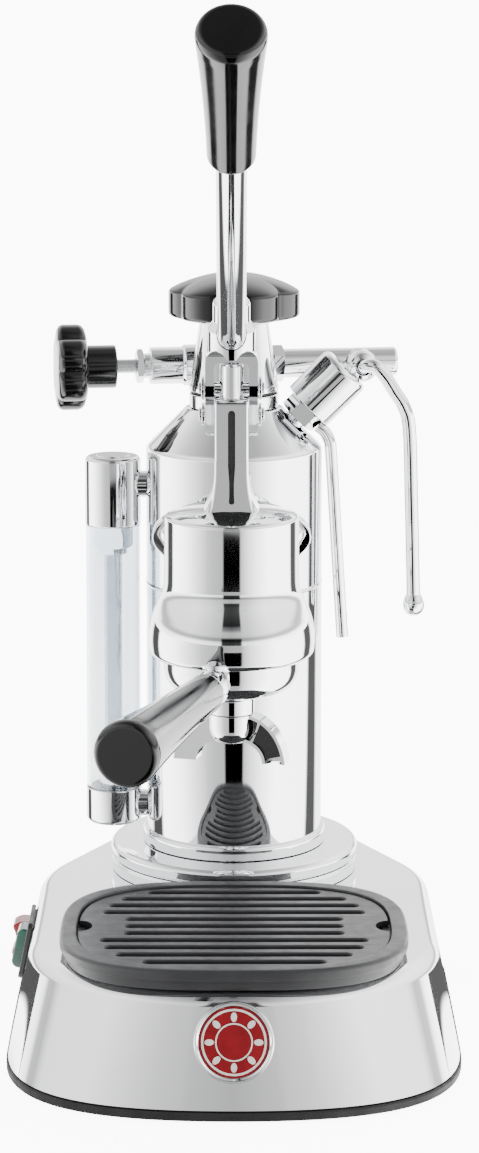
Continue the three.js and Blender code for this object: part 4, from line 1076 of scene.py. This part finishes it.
def build_grille():
    half = [value - GRILLE_INSET for value in TRAY_HALF]
    slots = []
    for row in range(-5, 6):
        offset = row * GRILLE_SLOT_PITCH
        reach = half[0] * (1 - (abs(offset) / half[1]) ** TRAY_POWER) ** (1 / TRAY_POWER) - 9
        reach = min(reach, 46) if abs(row) < 2 else reach
        slot = stadium(2 * reach, GRILLE_SLOT_WIDTH, 10)
        slots.append([(x, y + TRAY_CENTRE_Y + offset) for x, y in slot])
    grille = moved(plate([tray_outline(GRILLE_INSET), *slots], 2.4, 0.8), shift(0, 0, 56.4))
    notches = []
    for side in (-1, 1):
        notch = [(x * 0.8 + side * half[0], y + TRAY_CENTRE_Y) for x, y in stadium(15, 14.9, 24)]
        notches.append(moved(plate([notch], 8, 0), shift(0, 0, 56)))
    piece("drip_grille", carve(grille, *notches))


# ---- the object

build_base()
build_badge()
build_switch()
build_inlet()
build_boiler()
build_cap()
build_gauge()
build_joint()
build_group()
build_piston()
build_fork()
build_lever()
build_portafilter()
build_spout()
build_portafilter_fittings()
build_tap()
build_wand()
build_tap_knob()
build_safety()
build_tray()
build_grille()

for node, thing in frame["nodes"].items():
    if not thing.hide_render:
        thing.data.materials.clear()
        thing.data.materials.append(FINISH_OF_SLOT[SLOT_OF[node]])

# ---- studio, in metres

FLOOR_R = 40
FLOOR_GLOW = 9.0
BACKDROP_GLOW = 11.5
CARD_R, CARD_Z = 30, 0.0004
# Ramps hold 0 to 1, so glows by angle are divided by the first and those by height by the second.
FULL_GLOW = 10.0
ROOM_PEAK = 2.0
# The dark gap in front: its half width and soft edge in degrees, and where on the card it starts and ends.
GAP_HALF_ANGLE = 13.5
GAP_FADE_ANGLE = 1.5
GAP_START = 0.24
GAP_END = 1.255
FAR_GAP_DEPTH = 0.3
# How bright the card and the room are, by degrees round from the front, left negative.
CARD_BY_ANGLE = [
    (-180, 5), (-143, 5), (-137, 0.12), (-120, 0.12), (-116, 7), (-98, 6.5), (-85, 5.5), (-73, 4),
    (-62, 2.8), (-51, 2), (-41, 1.3), (-31, 1.05), (-14, 0.85), (15, 1.1), (25, 2.2), (35, 3.2), (54, 5.5),
    (65, 7), (116, 6.5), (120, 0.15), (137, 0.15), (143, 5), (180, 5),
]
ROOM_BY_ANGLE = [
    (-180, 3), (-125, 2.6), (-60, 2.4), (-25, 1.3), (0, 0.9), (25, 1.5), (60, 3.2), (125, 3.4), (180, 3),
]
# How bright the room is and how deep the gap in it is, by the height part of the direction.
ROOM_BY_HEIGHT = [
    (0, 2), (0.08, 1.5), (0.13, 0.42), (0.19, 0.38), (0.26, 0.85), (0.6, 1), (0.8, 0.5), (0.95, 0.22),
    (1, 0.2),
]
GAP_BY_HEIGHT = [
    (0, 0.97), (0.17, 0.97), (0.24, 0.1), (0.36, 0.1), (0.45, 0.97), (0.72, 0.9), (0.85, 0), (1, 0),
]
CAMERA_PLACE = (0, AXIS_Y * MM - 1.502, 0.487)
CAMERA_PITCH = 7.17
CAMERA_LENS, SENSOR_WIDTH = 105.6, 36
CAMERA_SHIFT = (0.0048, -0.22)
CAMERA_REACH = 50
# Name, place, target, size and power of each light.
LIGHTS = [
    ("key_left", (-1.6, -1.0, 1.5), (0, 0, 0.25), (1.2, 1.8), 14),
    ("key_right", (1.6, -0.8, 1.4), (0, 0, 0.25), (1.2, 1.8), 10),
    ("top", (0, 0.1, 2.0), (0, 0, 0.2), (2.0, 2.0), 12),
]


class Graph:
    """Adds nodes to a tree by short calls."""

    def __init__(self, tree):
        self.nodes, self.links = tree.nodes, tree.links

    def math(self, operation, first, second=0.0):
        node = self.nodes.new("ShaderNodeMath")
        node.operation = operation
        for socket, value in zip(node.inputs, (first, second)):
            if isinstance(value, (int, float)):
                socket.default_value = value
            else:
                self.links.new(value, socket)
        return node.outputs[0]

    def ramp(self, value, stops):
        node = self.nodes.new("ShaderNodeValToRGB")
        self.links.new(value, node.inputs[0])
        for k, (place, grey) in enumerate(stops):
            stop = node.color_ramp.elements[k] if k < 2 else node.color_ramp.elements.new(place)
            stop.position = place
            stop.color = (grey, grey, grey, 1)
        return node.outputs[0]

    def by_angle(self, turn_share, stops):
        return self.ramp(turn_share, [((angle + 180) / 360, value / FULL_GLOW) for angle, value in stops])

    def gap(self, turn_share):
        """1 in a narrow sector in front, 0 round the rest."""
        low, high = GAP_HALF_ANGLE, GAP_HALF_ANGLE + GAP_FADE_ANGLE
        stops = [(-180, 0), (-high, 0), (-low, FULL_GLOW), (low, FULL_GLOW), (high, 0), (180, 0)]
        return self.by_angle(turn_share, stops)

    def direction(self, vector):
        """How far round a direction points, 0 to 1 with 0.5 in front, and its height part."""
        split = self.nodes.new("ShaderNodeSeparateXYZ")
        self.links.new(vector, split.inputs[0])
        forward = self.math("MULTIPLY", split.outputs["Y"], -1)
        angle = self.math("ARCTAN2", split.outputs["X"], forward)
        return self.math("ADD", self.math("DIVIDE", angle, 2 * math.pi), 0.5), split.outputs["Z"]

    def darkened(self, glow, gap, depth):
        """A glow with the gap taken out of it, to a depth of 0 to 1."""
        kept = self.math("SUBTRACT", 1.0, self.math("MULTIPLY", gap, depth))
        return self.math("MULTIPLY", glow, kept)


def flat_disc(name, radius, z):
    mesh = bmesh.new()
    bmesh.ops.create_circle(mesh, cap_ends=True, segments=128, radius=radius)
    thing = linked(name, as_data(name, mesh))
    thing.location.z = z
    return thing


def build_floor():
    floor = flat_disc("floor", FLOOR_R, 0)
    floor.data.materials.append(finish(
        "pale_floor", (3, 2, (0.86, 0.86, 0.865), (0.88, 0.88, 0.88)), (8, 2, 0.6, 0.7),
        Specular_IOR_Level=0.1, Emission_Color=(1, 1, 1, 1), Emission_Strength=FLOOR_GLOW,
    ))
    floor.visible_glossy = floor.visible_diffuse = False


def build_reflector():
    """A lit card that only reflections see, with a dark gap in front and dark bands behind the sides."""
    card = flat_disc("reflector", CARD_R, CARD_Z)
    card.visible_camera = card.visible_diffuse = card.visible_transmission = card.visible_shadow = False
    material = bpy.data.materials.new("reflector_card")
    material.use_nodes = True
    material.node_tree.nodes.clear()
    graph = Graph(material.node_tree)
    place = graph.nodes.new("ShaderNodeTexCoord").outputs["Object"]
    around, _ = graph.direction(place)
    length = graph.nodes.new("ShaderNodeVectorMath")
    length.operation = "LENGTH"
    graph.links.new(place, length.inputs[0])
    near = graph.math("LESS_THAN", length.outputs["Value"], GAP_END)
    clear = graph.math("GREATER_THAN", length.outputs["Value"], GAP_START)
    depth = graph.math("MAXIMUM", graph.math("MULTIPLY", near, clear), FAR_GAP_DEPTH)
    glow = graph.darkened(graph.by_angle(around, CARD_BY_ANGLE), graph.gap(around), depth)
    shader = graph.nodes.new("ShaderNodeEmission")
    graph.links.new(graph.math("MULTIPLY", glow, FULL_GLOW), shader.inputs["Strength"])
    output = graph.nodes.new("ShaderNodeOutputMaterial")
    graph.links.new(shader.outputs[0], output.inputs["Surface"])
    card.data.materials.append(material)


def build_world():
    """A plain backdrop to the camera, and to reflections a pale room with a dark gap in front."""
    world = bpy.data.worlds.new("studio")
    bpy.context.scene.world = world
    world.use_nodes = True
    graph = Graph(world.node_tree)
    background = graph.nodes["Background"]
    around, height = graph.direction(graph.nodes.new("ShaderNodeTexCoord").outputs["Generated"])
    by_height = graph.ramp(height, [(place, value / ROOM_PEAK) for place, value in ROOM_BY_HEIGHT])
    glow = graph.math("MULTIPLY", graph.by_angle(around, ROOM_BY_ANGLE), by_height)
    glow = graph.darkened(glow, graph.gap(around), graph.ramp(height, GAP_BY_HEIGHT))
    mix = graph.nodes.new("ShaderNodeMix")
    mix.data_type = "FLOAT"
    graph.links.new(graph.nodes.new("ShaderNodeLightPath").outputs["Is Camera Ray"], mix.inputs["Factor"])
    graph.links.new(graph.math("MULTIPLY", glow, FULL_GLOW * ROOM_PEAK), mix.inputs["A"])
    fill(mix, B=BACKDROP_GLOW)
    fill(background, Color=(1, 1, 1, 1))
    graph.links.new(mix.outputs["Result"], background.inputs["Strength"])


def area_light(name, place, target, size, power):
    data = bpy.data.lights.new(name, "AREA")
    data.shape = "RECTANGLE"
    data.size, data.size_y = size
    data.energy = power
    light = linked(name, data)
    light.location = place
    light.rotation_euler = (Vector(target) - Vector(place)).to_track_quat("-Z", "Y").to_euler()
    light.visible_glossy = False


def build_camera():
    data = bpy.data.cameras.new("camera")
    data.lens = CAMERA_LENS
    data.sensor_width = SENSOR_WIDTH
    data.shift_x, data.shift_y = CAMERA_SHIFT
    data.clip_end = CAMERA_REACH
    camera = linked("camera", data)
    camera.location = CAMERA_PLACE
    camera.rotation_euler = Euler((math.radians(90 - CAMERA_PITCH), 0, 0))
    bpy.context.scene.camera = camera


build_floor()
build_reflector()
build_world()
for light in LIGHTS:
    area_light(*light)
build_camera()
